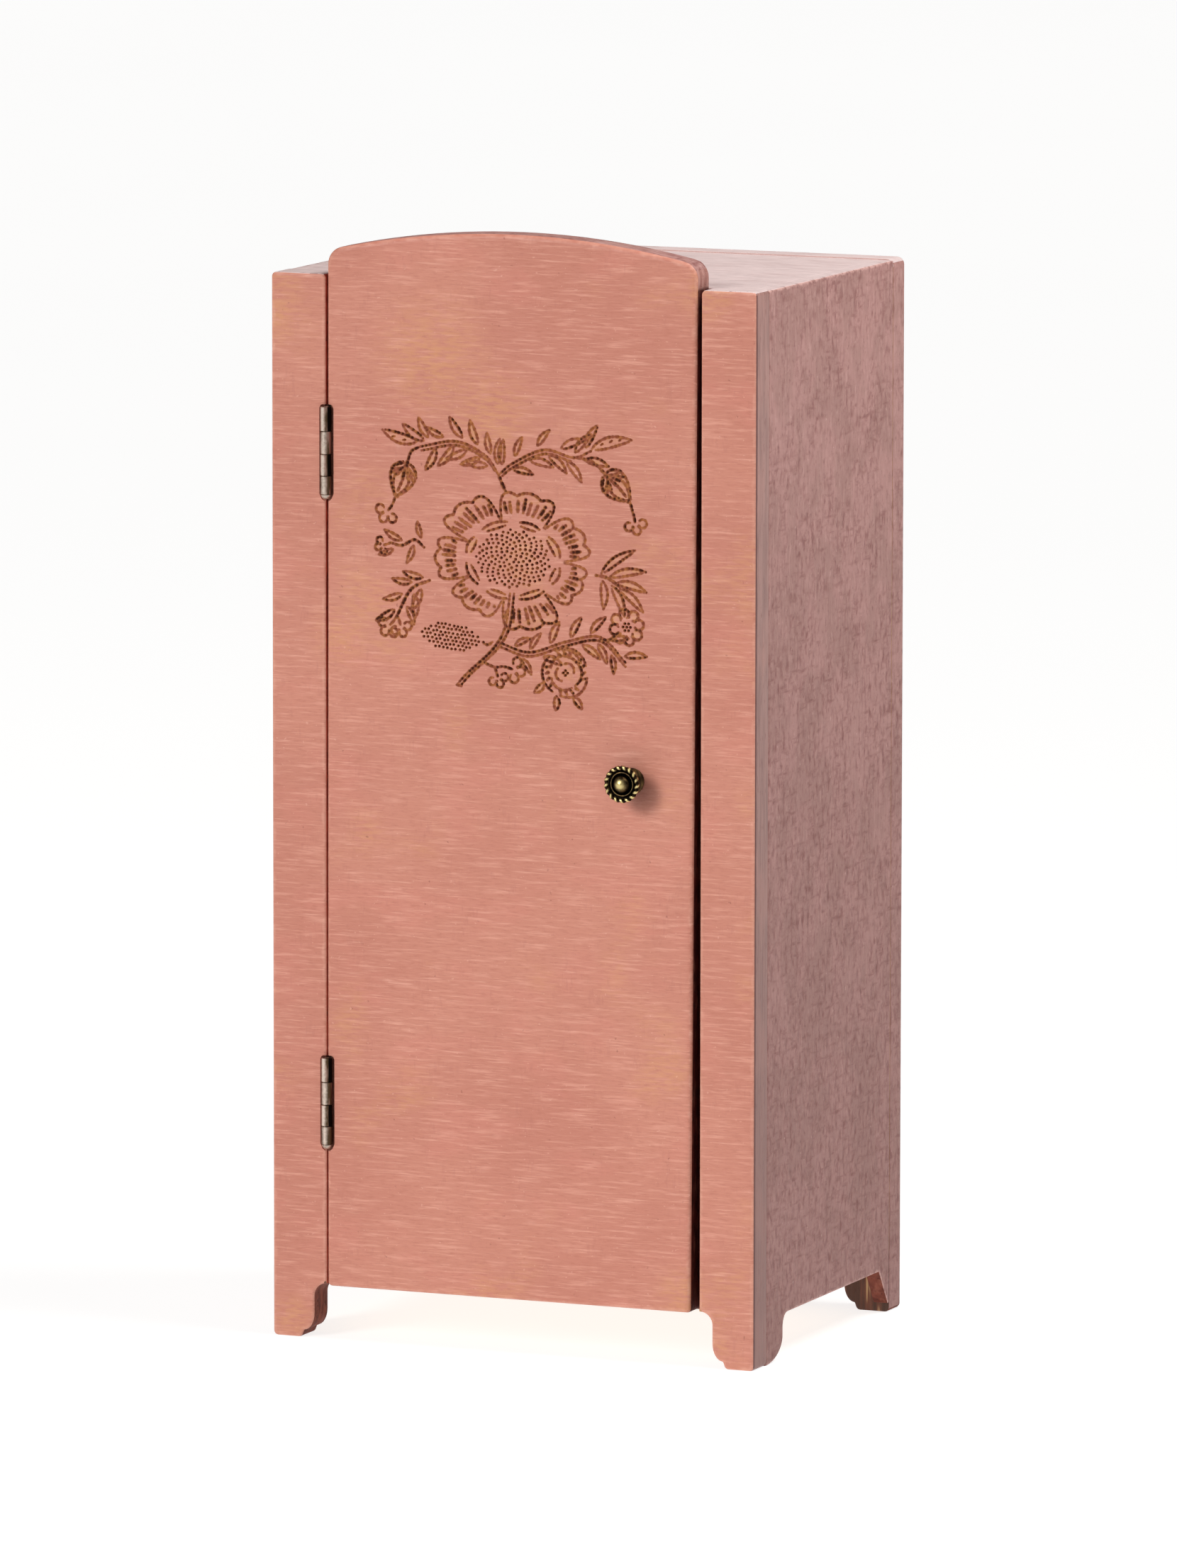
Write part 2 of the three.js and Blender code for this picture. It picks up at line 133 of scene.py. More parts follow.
def placed(name, data):
    """A new object in the scene."""
    thing = bpy.data.objects.new(name, data)
    bpy.context.scene.collection.objects.link(thing)
    return thing


def traced(pairs):
    """The closed loops that pairs of neighbours make, each point having two neighbours."""
    links = {}
    for a, b in pairs:
        links.setdefault(a, []).append(b)
        links.setdefault(b, []).append(a)
    loops = []
    while links:
        start = next(iter(links))
        loop, last, here = [start], None, start
        while True:
            onward = [p for p in links[here] if p != last]
            last, here = here, onward[0]
            if here == start:
                break
            loop.append(here)
        for point in loop:
            links.pop(point)
        loops.append(loop)
    return loops


def area_of(loop):
    p = np.asarray(loop)
    q = np.roll(p, -1, axis=0)
    return 0.5 * float(np.sum(p[:, 0] * q[:, 1] - p[:, 1] * q[:, 0]))


def inside(points, loops):
    """Which points lie inside the loops, counted even-odd."""
    hit = np.zeros(len(points), bool)
    x, y = points[:, 0], points[:, 1]
    for loop in loops:
        for (ax, ay), (bx, by) in zip(loop, np.roll(loop, -1, axis=0)):
            if ay == by:
                continue
            crosses = (ay > y) != (by > y)
            hit ^= crosses & (x < ax + (y - ay) * (bx - ax) / (by - ay))
    return hit


def distance_to_loop(points, loop, keep=None):
    """Distance from each point to the nearest stretch of a loop; `keep` picks the stretches."""
    best = np.full(len(points), RIM_LIMIT)
    for a, b in zip(loop, np.roll(loop, -1, axis=0)):
        if keep is not None and not keep(a, b):
            continue
        along = b - a
        t = np.clip(((points - a) @ along) / max(along @ along, 1e-12), 0, 1)
        best = np.minimum(best, np.linalg.norm(points - a - t[:, None] * along, axis=1))
    return best


# ---- outlines --------------------------------------------------------------------------------
def cap_outline(node, axis):
    """The outer loop of a CAD board's flat face at the high end of an axis."""
    mesh = frame["nodes"][node].data
    plane = box_of(node)[1][axis]
    at = [tuple(np.round(np.array(v.co) / MM, 4)) for v in mesh.vertices]
    count = {}
    for face in mesh.polygons:
        corners = [at[i] for i in face.vertices]
        if all(abs(c[axis] - plane) < TOUCH for c in corners):
            for a, b in zip(corners, corners[1:] + corners[:1]):
                key = (min(a, b), max(a, b))
                count[key] = count.get(key, 0) + 1
    u, v = other_axes(axis)
    rim = [pair for pair, used in count.items() if used == 1]
    loops = [np.array([(p[u], p[v]) for p in loop]) for loop in traced(rim)]
    outer = max(loops, key=lambda loop: abs(area_of(loop)))
    return outer if area_of(outer) > 0 else outer[::-1]


def filleted(loop, radius):
    """The loop with its sharp corners rounded to arcs."""
    made = []
    count = len(loop)
    for i in range(count):
        before, here, after = loop[i - 1], loop[i], loop[(i + 1) % count]
        into, out = here - before, after - here
        reach_in, reach_out = np.linalg.norm(into), np.linalg.norm(out)
        into, out = into / reach_in, out / reach_out
        turn = math.atan2(into[0] * out[1] - into[1] * out[0], into @ out)
        degrees = abs(math.degrees(turn))
        if degrees < SHARP_CORNER:
            made.append(here)
            continue
        setback = radius * math.tan(abs(turn) / 2)
        setback = min(setback, CORNER_SHARE * reach_in, CORNER_SHARE * reach_out)
        r = setback / math.tan(abs(turn) / 2)
        left = np.array((-into[1], into[0])) * math.copysign(1, turn)
        first = here - into * setback
        centre = first + left * r
        steps = max(3, int(degrees / ARC_STEP))
        for k in range(steps + 1):
            a = turn * k / steps
            c, s = math.cos(a), math.sin(a)
            spoke = first - centre
            made.append(centre + (c * spoke[0] - s * spoke[1], s * spoke[0] + c * spoke[1]))
    return np.array(made)


def resampled(loop, longest):
    """The loop with its long stretches divided, so no two points are further apart than that."""
    made = []
    for a, b in zip(loop, np.roll(loop, -1, axis=0)):
        parts = max(1, math.ceil(np.linalg.norm(b - a) / longest))
        made += [a + (b - a) * k / parts for k in range(parts)]
    return np.array(made)


def inset(loop, distance):
    """The loop moved inwards by that distance, corners mitred."""
    before, after = np.roll(loop, 1, axis=0), np.roll(loop, -1, axis=0)
    def normals(a, b):
        d = b - a
        d = d / np.linalg.norm(d, axis=1)[:, None]
        return np.stack([-d[:, 1], d[:, 0]], axis=1)
    n1, n2 = normals(before, loop), normals(loop, after)
    mitre = (n1 + n2) / (1 + np.sum(n1 * n2, axis=1))[:, None]
    return loop + mitre * distance


# ---- board meshes ----------------------------------------------------------------------------
def lifted(points, axis, level):
    """2D points put back into 3D at a level along the axis."""
    u, v = other_axes(axis)
    made = np.zeros((len(points), 3))
    made[:, u], made[:, v] = points[:, 0], points[:, 1]
    made[:, axis] = level
    return made


def board_rings(low, high, rounds):
    """(inset, level) of each ring round a board, from its low face to its high one."""
    low_round, high_round = rounds
    quarter = [math.pi / 2 * k / ROUND_STEPS for k in range(ROUND_STEPS + 1)]
    rings = [(low_round * (1 - math.sin(a)), low + low_round * (1 - math.cos(a))) for a in quarter]
    room = (high - high_round) - (low + low_round)
    if room > 3 * RIM_RINGS[0]:
        rings += [(0, low + low_round + RIM_RINGS[0]), (0, high - high_round - RIM_RINGS[0])]
    rings += [
        (high_round * (1 - math.sin(a)), high - high_round * (1 - math.cos(a)))
        for a in reversed(quarter)
    ]
    return rings


def skin(mesh, rings, flip=False):
    """Faces between each ring of vertices and the next; a ring of one vertex is a point."""
    for one, two in zip(rings, rings[1:]):
        count = max(len(one), len(two))
        for i in range(count):
            j = (i + 1) % count
            corners = [one[i % len(one)], one[j % len(one)], two[j % len(two)], two[i % len(two)]]
            corners = list(dict.fromkeys(corners))
            if len(corners) > 2:
                mesh.faces.new(corners[::-1] if flip else corners)


def solid_board(loop, axis, low, high, rounds):
    """A closed bmesh, in millimetres, of a board with rounded edges and n-gon faces."""
    mesh = bmesh.new()
    rings = [
        [mesh.verts.new(p) for p in lifted(inset(loop, d), axis, level)]
        for d, level in board_rings(low, high, rounds)
    ]
    flip = axis == 1
    skin(mesh, rings, flip)
    mesh.faces.new(rings[0] if flip else rings[0][::-1])
    mesh.faces.new(rings[-1][::-1] if flip else rings[-1])
    return mesh


def cut_board(mesh, cutters):
    """Cuts closed bmeshes out of a board, all in millimetres."""
    def holder(source, name):
        data = bpy.data.meshes.new(name)
        source.to_mesh(data)
        source.free()
        return placed(name, data)

    board = holder(mesh, "board")
    tools = [holder(cutter, "cutter") for cutter in cutters]
    for tool in tools:
        change = board.modifiers.new("cut", "BOOLEAN")
        change.operation = "DIFFERENCE"
        change.solver = "EXACT"
        change.object = tool
    evaluated = board.evaluated_get(bpy.context.evaluated_depsgraph_get())
    result = bmesh.new()
    result.from_mesh(evaluated.to_mesh())
    for thing in [board, *tools]:
        bpy.data.objects.remove(thing)
    bmesh.ops.remove_doubles(result, verts=result.verts, dist=0.1 * TOUCH)
    return result


def tile_face(mesh, axis, level, faces_high, points, edges=()):
    """Replaces a board's flat face at that level by triangles through the given 2D points.

    Returns the new vertices that lie inside the face, in the order of their making.
    """
    u, v = other_axes(axis)
    flat = [f for f in mesh.faces if all(abs(p.co[axis] - level) < TOUCH for p in f.verts)]
    flat_set = set(flat)
    border = [e for f in flat for e in f.edges if not all(g in flat_set for g in e.link_faces)]
    border = list(dict.fromkeys(border))
    rim = list(dict.fromkeys(p for e in border for p in e.verts))
    index = {p: i for i, p in enumerate(rim)}
    bmesh.ops.delete(mesh, geom=flat, context="FACES")
    loops = [np.array([(p.co[u], p.co[v]) for p in loop])
             for loop in traced([tuple(e.verts) for e in border])]
    first = len(rim)
    coords = [Vector((p.co[u], p.co[v])) for p in rim] + [Vector(p) for p in points]
    lines = [(index[e.verts[0]], index[e.verts[1]]) for e in border]
    lines += [(a + first, b + first) for a, b in edges]
    out, _, triangles, sources, _, _ = delaunay_2d_cdt(coords, lines, [], 0, 0.1 * TOUCH)
    vertices, made = [], []
    for place, origin in zip(out, sources):
        known = [i for i in origin if i < first]
        if known:
            vertices.append(rim[known[0]])
            continue
        spot = [0.0, 0.0, 0.0]
        spot[u], spot[v], spot[axis] = place[0], place[1], level
        vertices.append(mesh.verts.new(spot))
        made.append(vertices[-1])
    flat_out = np.array([tuple(p) for p in out])
    centres = flat_out[np.array(triangles)].mean(axis=1)
    turn_round = (axis == 1) == bool(faces_high)
    for corners, wanted in zip(triangles, inside(centres, loops)):
        ring = [vertices[i] for i in corners]
        if wanted and len(set(ring)) == 3:
            mesh.faces.new(ring[::-1] if turn_round else ring)
    for p in made:
        if not p.link_faces:
            mesh.verts.remove(p)
    return [p for p in made if p.is_valid]


def rim_points(loop):
    """Points inside an outline at set distances from it, to carry what fades away from the edge.

    Points that a corner has brought nearer to the outline are left out.
    """
    made = []
    for distance in RIM_RINGS:
        ring = resampled(inset(resampled(loop, 2.0), distance), RIM_PITCH)
        ring = ring[inside(ring, [loop])]
        made.append(ring[distance_to_loop(ring, loop) > 0.93 * distance])
    return np.concatenate(made)


def finished(name, body, mesh, materials, replaces, pick=None, layers=None, sharp=35):
    """Turns a bmesh in millimetres into a piece that rides on a body and stands for CAD nodes.

    `pick` says which of the materials a face has, and `layers` holds a value for every vertex.
    """
    data = bpy.data.meshes.new(name)
    mesh.normal_update()
    if pick:
        for face in mesh.faces:
            face.material_index = materials.index(pick(face))
    smooth = [len(face.verts) > 3 or not face.tag for face in mesh.faces]
    mesh.to_mesh(data)
    mesh.free()
    for layer, values in (layers or {}).items():
        attribute = data.attributes.new(layer, "FLOAT", "POINT")
        attribute.data.foreach_set("value", np.asarray(values, np.float32))
    for material in materials:
        data.materials.append(material)
    data.polygons.foreach_set("use_smooth", smooth)
    data.set_sharp_from_angle(angle=math.radians(sharp))
    co = np.zeros(len(data.vertices) * 3, np.float32)
    data.vertices.foreach_get("co", co)
    data.vertices.foreach_set("co", co * MM)
    data.update()
    piece = placed(name, data)
    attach(piece, body)
    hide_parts(*replaces)


def rim_layer(mesh, axis, loop, low, high, worn_ends=(True, True), keep=None):
    """How far each vertex is from a worn edge of the board, in millimetres."""
    u, v = other_axes(axis)
    co = np.array([tuple(p.co) for p in mesh.verts])
    across = distance_to_loop(co[:, (u, v)], loop, keep)
    depth = np.full(len(co), RIM_LIMIT)
    if worn_ends[0]:
        depth = np.minimum(depth, co[:, axis] - low)
    if worn_ends[1]:
        depth = np.minimum(depth, high - co[:, axis])
    return np.maximum(across, depth)


def mark_flat(mesh, axis, levels):
    """Tags the faces that lie in the board's flat faces, so that they are shaded flat."""
    for face in mesh.faces:
        face.tag = any(
            all(abs(p.co[axis] - level) < 0.1 * TOUCH for p in face.verts) for level in levels
        )


# ---- shader helpers --------------------------------------------------------------------------
class Shader:
    """Adds nodes to one material; places are the object's own coordinates in millimetres."""

    def __init__(self, name, along=2):
        self.along = along  # the axis that its grain or its brush strokes follow
        self.colour = None
        self.material = bpy.data.materials.new(name)
        self.material.use_nodes = True
        self.tree = self.material.node_tree
        self.tree.nodes.clear()
        self.skin = self.tree.nodes.new("ShaderNodeBsdfPrincipled")
        output = self.tree.nodes.new("ShaderNodeOutputMaterial")
        self.tree.links.new(self.skin.outputs["BSDF"], output.inputs["Surface"])
        self.where = self.tree.nodes.new("ShaderNodeTexCoord").outputs["Object"]

    def set(self, node, socket, value):
        if isinstance(value, bpy.types.NodeSocket):
            self.tree.links.new(value, node.inputs[socket])
        elif value is not None:
            node.inputs[socket].default_value = value

    def place(self, scale, shift=(0, 0, 0)):
        """Coordinates with that many features to the millimetre along each axis."""
        node = self.tree.nodes.new("ShaderNodeMapping")
        self.set(node, "Vector", self.where)
        self.set(node, "Scale", tuple(s / MM for s in scale))
        self.set(node, "Location", shift)
        return node.outputs["Vector"]

    def noise(self, scale, detail=2.0, rough=0.5, warp=0.0, shift=(0, 0, 0)):
        node = self.tree.nodes.new("ShaderNodeTexNoise")
        self.set(node, "Vector", self.place(scale, shift))
        for socket, value in (("Scale", 1.0), ("Detail", detail), ("Roughness", rough),
                              ("Distortion", warp)):
            self.set(node, socket, value)
        return node.outputs["Fac"]

    def fibres(self, across, lengthways, **settings):
        """Noise drawn out along the material's own axis."""
        scale = [across] * 3
        scale[self.along] = lengthways
        return self.noise(scale, **settings)

    def height(self):
        """Height above the floor, in metres."""
        node = self.tree.nodes.new("ShaderNodeSeparateXYZ")
        self.set(node, "Vector", self.where)
        return node.outputs["Z"]

    def attribute(self, name):
        node = self.tree.nodes.new("ShaderNodeAttribute")
        node.attribute_name = name
        return node.outputs["Fac"]

    def math(self, operation, a, b=None):
        node = self.tree.nodes.new("ShaderNodeMath")
        node.operation = operation
        self.set(node, 0, a)
        self.set(node, 1, b)
        return node.outputs[0]

    def times(self, *values):
        result = values[0]
        for value in values[1:]:
            result = self.math("MULTIPLY", result, value)
        return result

    def plus(self, *values):
        result = values[0]
        for value in values[1:]:
            result = self.math("ADD", result, value)
        return result

    def step(self, value, low, high, to_low=0.0, to_high=1.0):
        """A soft step from to_low to to_high as the value goes from low to high."""
        node = self.tree.nodes.new("ShaderNodeMapRange")
        node.interpolation_type = "SMOOTHSTEP"
        self.set(node, "Value", value)
        self.set(node, "From Min", low)
        self.set(node, "From Max", high)
        self.set(node, "To Min", to_low)
        self.set(node, "To Max", to_high)
        return node.outputs["Result"]

    def spot(self, centre, radius):
        """1 at a place in millimetres, fading to 0 at the radius."""
        node = self.tree.nodes.new("ShaderNodeVectorMath")
        node.operation = "DISTANCE"
        self.set(node, 0, self.where)
        self.set(node, 1, tuple(value * MM for value in centre))
        return self.step(node.outputs["Value"], radius * MM, 0.0)

    def mix(self, amount, a, b):
        node = self.tree.nodes.new("ShaderNodeMix")
        node.data_type = "RGBA"
        self.set(node, 0, amount)
        self.set(node, 6, a)
        self.set(node, 7, b)
        return node.outputs[2]

    def coat(self, shade, amount, low=None, high=None, most=1.0):
        """Lays a colour over what is there, all of it or where the amount passes from low to high."""
        if low is not None:
            amount = self.step(amount, low, high, 0, most)
        self.colour = self.mix(amount, self.colour, shade)

    def bump(self, height, rise):
        """Relief of that many millimetres between heights 0 and 1."""
        node = self.tree.nodes.new("ShaderNodeBump")
        self.set(node, "Height", height)
        self.set(node, "Distance", rise * MM)
        self.set(node, "Strength", 1.0)
        return node.outputs["Normal"]

    def finish(self, roughness, normal=None, **others):
        self.set(self.skin, "Base Color", self.colour)
        self.set(self.skin, "Roughness", roughness)
        self.set(self.skin, "Normal", normal)
        for socket, value in others.items():
            self.set(self.skin, socket.replace("_", " "), value)
        return self.material


# ---- materials -------------------------------------------------------------------------------
KNOB_SHADOW_SHIFT = (1.9, 0, -2.2)  # from the knob's middle to the middle of the shadow painted below it
KNOB_SHADOW_RADIUS = 5.4


def worn_spots():
    """Places, in millimetres, where the ochre coat shows through the front paint, with radii."""
    door_low, door_high = box_of("door_panel")
    left_low, left_high = box_of("stile_left")
    right_low = box_of("stile_right")[0]
    y = door_low[1]
    return [
        ((door_high[0] - 1.8, y, door_low[2] + 3.5), 8.5),
        ((door_low[0] + 22, y, door_high[2] - 24), 17),
        ((door_low[0] + 34, y, door_high[2] - 34), 13),
        ((door_low[0] + 3, y, door_high[2] - 78), 9),
        ((left_low[0] + 1.5, y, left_high[2] - 8), 9),
        ((left_low[0] + 4, y, 4), 6),
        ((right_low[0] + 4.6, y, 4.5), 3.4),
    ]


def front_paint():
    """Coral chalk paint laid on in level brush strokes over an ochre coat, and the engraving."""
    s = Shader("front_paint")
    coral, deep = srgb(197, 129, 109), srgb(190, 121, 102)
    cloud = s.noise((0.03, 0.05, 0.034), detail=3)
    s.colour = s.mix(s.step(cloud, 0.35, 0.66), coral, deep)
    rosy = s.noise((0.07, 0.08, 0.11), detail=3, shift=(4, 2, 9))
    s.coat(srgb(205, 128, 112), rosy, 0.5, 0.68, 0.3)
    fine = s.noise((0.42, 1.4, 2.3), detail=4, rough=0.66)
    s.coat(srgb(172, 103, 85), fine, 0.45, 0.72, 0.44)
    strokes = s.noise((0.11, 1.2, 1.5), detail=3, rough=0.66, shift=(3, 1, 7))
    s.coat(srgb(221, 158, 138), strokes, 0.48, 0.72, 0.6)
    dashes = s.noise((0.1, 1.2, 2.3), detail=2, rough=0.7, shift=(13, 5, 2))
    s.coat(srgb(230, 172, 152), dashes, 0.58, 0.72, 0.42)
    canvas = s.noise((1.5, 1.5, 0.4), detail=2, rough=0.6, shift=(6, 5, 3))
    where_bare = s.step(s.noise((0.14, 0.2, 0.16), detail=2, shift=(1, 1, 4)), 0.48, 0.66)
    s.coat(srgb(172, 104, 90), s.times(s.step(canvas, 0.52, 0.68), where_bare, 0.22))
    patches = s.step(s.noise((0.05, 0.08, 0.05), detail=2, shift=(11, 4, 2)), 0.54, 0.74, 0, 0.75)
    for centre, radius in worn_spots():
        patches = s.math("MAXIMUM", patches, s.spot(centre, radius))
    broken = s.noise((0.3, 1.0, 1.3), detail=3, rough=0.6, shift=(5, 9, 1))
    s.coat(srgb(208, 148, 100), s.times(patches, s.step(broken, 0.36, 0.62), 0.55))
    specks = s.step(s.noise((1.3, 1.3, 1.9), detail=1, shift=(9, 3, 4)), 0.73, 0.8)
    s.coat(srgb(230, 180, 162), s.times(specks, 0.3))
    pits = s.step(s.noise((0.9, 0.9, 0.9), detail=2, shift=(3, 12, 4)), 0.74, 0.8)
    s.coat(srgb(128, 66, 52), s.times(pits, 0.4))
    ragged = s.plus(s.attribute("rim"), s.times(s.noise((0.4, 0.4, 0.3), detail=3), -2.4))
    # paler along the edges: worn paint and a painted edge highlight
    rub_and_edge_highlight = s.times(s.step(ragged, -0.4, -1.1), s.step(broken, 0.3, 0.6, 0.4, 1))
    s.coat(srgb(224, 168, 148), s.times(rub_and_edge_highlight, 0.36))
    # painted shadow: a soft brown patch below and right of the knob, where its shadow falls
    knob_shadow = s.spot(middle_of("knob", 1, box_of("knob")[1][1]) + KNOB_SHADOW_SHIFT, KNOB_SHADOW_RADIUS)
    s.coat(srgb(108, 56, 42), s.times(knob_shadow, 0.66))
    gilt = s.attribute("gilt")
    grain = s.noise((0.8, 0.8, 1.1), detail=3, shift=(4, 4, 8))
    s.coat(srgb(200, 142, 84), s.times(gilt, s.step(grain, 0.34, 0.62), 0.6))
    burn = s.attribute("burn")
    warm = s.mix(s.step(grain, 0.4, 0.6), srgb(148, 80, 55), srgb(170, 106, 58))
    s.coat(warm, burn, 0.02, 0.28, 0.9)
    s.coat(srgb(60, 23, 12), burn, 0.34, 0.86, 0.96)
    relief = s.plus(s.times(strokes, 0.6), s.times(fine, 0.6), s.times(dashes, 0.3),
                    s.times(canvas, 0.15), s.times(pits, -0.7))
    roughness = s.step(fine, 0.3, 0.75, 0.42, 0.6)
    return s.finish(s.plus(roughness, s.times(burn, 0.25)), s.bump(relief, 0.08),
                    Specular_IOR_Level=s.step(burn, 0.05, 0.5, 0.45, 0.12))


def side_paint(name="side_paint", along=2, pale=0.0, gloss=0.0, streaky=0.0):
    """The same paint brushed along an axis, thinner, the weave of its dark ground showing.

    Its colour, greyer than the front's, is painted shade and sheen; it darkens towards the bottom as
    painted shade, and tops are made paler as painted light.
    """
    s = Shader(name, along)
    # greyer and darker than the front's coral: painted shade and sheen of a side face
    rose, olive = srgb(175, 129, 122), srgb(163, 120, 112)
    cloud = s.fibres(0.11, 0.08, detail=3, rough=0.55)
    s.colour = s.mix(s.step(cloud, 0.4, 0.6), rose, olive)
    strokes = s.fibres(1.2, 0.24, detail=4, rough=0.62, shift=(2, 3, 1))
    s.coat(srgb(204, 164, 157), strokes, 0.5, 0.7, 0.4 + streaky)
    s.coat(srgb(142, 92, 84), strokes, 0.48, 0.3, 0.45 + streaky)
    warp = s.fibres(0.7, 0.4, detail=3, rough=0.55, shift=(1, 7, 4))
    weft = s.fibres(0.22, 0.9, detail=3, rough=0.55, shift=(5, 1, 8))
    weave = s.math("MAXIMUM", s.step(warp, 0.42, 0.76), s.step(weft, 0.46, 0.78, 0, 0.9))
    ground = s.fibres(0.13, 0.1, detail=3, rough=0.6, shift=(8, 2, 3))
    # painted shade: darker towards the bottom, more of the dark ground showing there
    painted_shade_below = s.step(s.height(), SIDE_HEIGHT * MM, 0, 0.0, 0.2)
    bare = s.times(s.step(s.plus(ground, painted_shade_below), 0.42, 0.62, 0.15, 1), weave)
    s.coat(srgb(114, 54, 50), s.times(bare, 0.76))
    s.coat(srgb(120, 70, 62), s.times(painted_shade_below, 1.1))
    flecks = s.step(s.fibres(0.8, 0.6, detail=3, rough=0.6, shift=(3, 9, 5)), 0.52, 0.78)
    s.coat(srgb(110, 54, 50), s.times(flecks, 0.6))
    lint = s.step(s.fibres(1.1, 0.9, detail=2, shift=(9, 4, 6)), 0.68, 0.76)
    s.coat(srgb(214, 176, 166), s.times(lint, 0.35))
    # painted light: tops take a paler copy of this paint, for the light that falls on them from above
    s.coat(srgb(231, 212, 209), pale)
    if pale:
        dust = s.step(s.fibres(0.42, 0.1, detail=4, rough=0.7, shift=(6, 2, 5)), 0.46, 0.68)
        s.coat(srgb(186, 158, 155), s.times(dust, 0.42))
    rag = s.plus(s.attribute("rim"), s.times(s.noise((0.6, 0.6, 0.6), detail=3), -1.5))
    # paler along the edges: worn paint and a painted edge highlight
    s.coat(srgb(222, 178, 168), rag, -0.15, -0.7, 0.55)
    nicks = s.step(s.noise((0.6, 0.6, 0.6), detail=3, rough=0.7, shift=(7, 7, 1)), 0.54, 0.62)
    s.coat(srgb(110, 60, 56), s.times(nicks, s.step(rag, 1.0, -0.2), 0.45))
    relief = s.plus(s.times(strokes, 0.7), s.times(weft, 0.5), s.times(warp, 0.4),
                    s.times(bare, -0.4))
    roughness = s.step(strokes, 0.3, 0.75, 0.46 - gloss, 0.64 - gloss)
    return s.finish(roughness, s.bump(relief, 0.09), Specular_IOR_Level=0.35)


def edge_paint():
    """Outer edges of the stiles: mauve grey in upright stripes, dark along the front corner; greyer
    than the front as painted shade and sheen, and darker towards the bottom as painted shade.
    """
    s = Shader("edge_paint")
    stripes = s.noise((1.5, 1.5, 0.05), detail=3, rough=0.65)
    # mauve grey, greyer than the front's coral: painted shade and sheen of a side face
    s.colour = s.mix(s.step(stripes, 0.38, 0.6), srgb(138, 98, 90), srgb(164, 125, 117))
    breaks = s.noise((1.2, 1.2, 0.4), detail=3, rough=0.6, shift=(3, 6, 1))
    s.coat(srgb(122, 76, 70), breaks, 0.54, 0.7, 0.55)
    cloud = s.noise((0.1, 0.1, 0.06), detail=2, shift=(8, 1, 1))
    s.coat(srgb(176, 128, 118), cloud, 0.45, 0.65, 0.5)
    # painted shade: darker towards the bottom
    s.coat(srgb(126, 80, 72), s.height(), 0.7 * SIDE_HEIGHT * MM, 0, 0.5)
    rim = s.plus(s.attribute("rim"), s.times(s.noise((0.5, 0.5, 0.3), detail=2), -0.5))
    s.coat(srgb(96, 54, 50), rim, 0.75, 0.15, 0.9)
    relief = s.plus(stripes, s.times(breaks, 0.5))
    return s.finish(s.step(stripes, 0.3, 0.7, 0.42, 0.58), s.bump(relief, 0.09),
                    Specular_IOR_Level=0.5)


def thin_paint(name="thin_paint", light=(120, 60, 45), dark=(94, 42, 30), painted_above=None):
    """Cut edges of a board, where the end grain has drunk the paint."""
    s = Shader(name)
    plies = s.noise((0.3, 0.8, 0.3), detail=2, shift=(2, 0, 5))
    s.colour = s.mix(s.step(plies, 0.38, 0.62), srgb(*light), srgb(*dark))
    streaks = s.noise((0.9, 0.9, 0.25), detail=3, shift=(0, 4, 1))
    s.coat(srgb(156, 98, 82), streaks, 0.5, 0.72, 0.4)
    holes = s.step(s.noise((1.2, 1.2, 1.2), detail=2, shift=(6, 6, 6)), 0.6, 0.72)
    s.coat(srgb(62, 28, 22), s.times(holes, 0.6))
    if painted_above:
        paint = s.mix(s.step(streaks, 0.35, 0.65), srgb(178, 132, 122), srgb(154, 106, 96))
        s.coat(paint, s.height(), (painted_above - 0.4) * MM, (painted_above + 0.4) * MM)
    relief = s.plus(plies, s.times(streaks, 0.6), s.times(holes, -0.7))
    return s.finish(s.step(streaks, 0.3, 0.7, 0.6, 0.8), s.bump(relief, 0.1),
                    Specular_IOR_Level=0.2)


def bare_wood(name="inside_wood", along=2, stained=0.0):
    """Bare pale plywood, its grain along an axis; paint has run over it up to a height."""
    s = Shader(name, along)
    figure = s.fibres(0.12, 0.012, detail=3, warp=0.6)
    bands = s.math("FRACT", s.times(figure, 9.0))
    s.colour = s.mix(s.step(bands, 0.1, 0.9), srgb(214, 176, 128), srgb(190, 146, 98))
    fibre = s.fibres(2.6, 0.11, detail=3, rough=0.6, shift=(1, 2, 3))
    s.coat(srgb(168, 122, 78), fibre, 0.45, 0.75, 0.6)
    pores = s.step(s.fibres(3.2, 0.35, detail=1, shift=(4, 5, 6)), 0.66, 0.74)
    s.coat(srgb(116, 76, 44), s.times(pores, 0.7))
    if stained:
        height = s.height()
        ragged = s.plus(height, s.times(s.noise((0.25, 0.25, 0.1), detail=3), 4 * MM))
        runs = s.noise((0.55, 0.55, 0.06), detail=2, shift=(5, 5, 5))
        dark = s.mix(s.step(runs, 0.42, 0.58), srgb(66, 30, 22), srgb(108, 56, 40))
        s.coat(dark, s.times(s.step(ragged, (stained + 4) * MM, stained * MM),
                             s.step(runs, 0.62, 0.56, 0.1, 0.95)))
        # the tops' paler paint, which is painted light, laid over the top edge of the wood
        s.coat(srgb(198, 166, 160), height, (PAINTED_ABOVE - 0.1) * MM, PAINTED_ABOVE * MM)
    relief = s.plus(s.times(fibre, 0.6), s.times(bands, 0.2), s.times(pores, -0.6))
    return s.finish(s.step(fibre, 0.3, 0.7, 0.5, 0.68), s.bump(relief, 0.06))


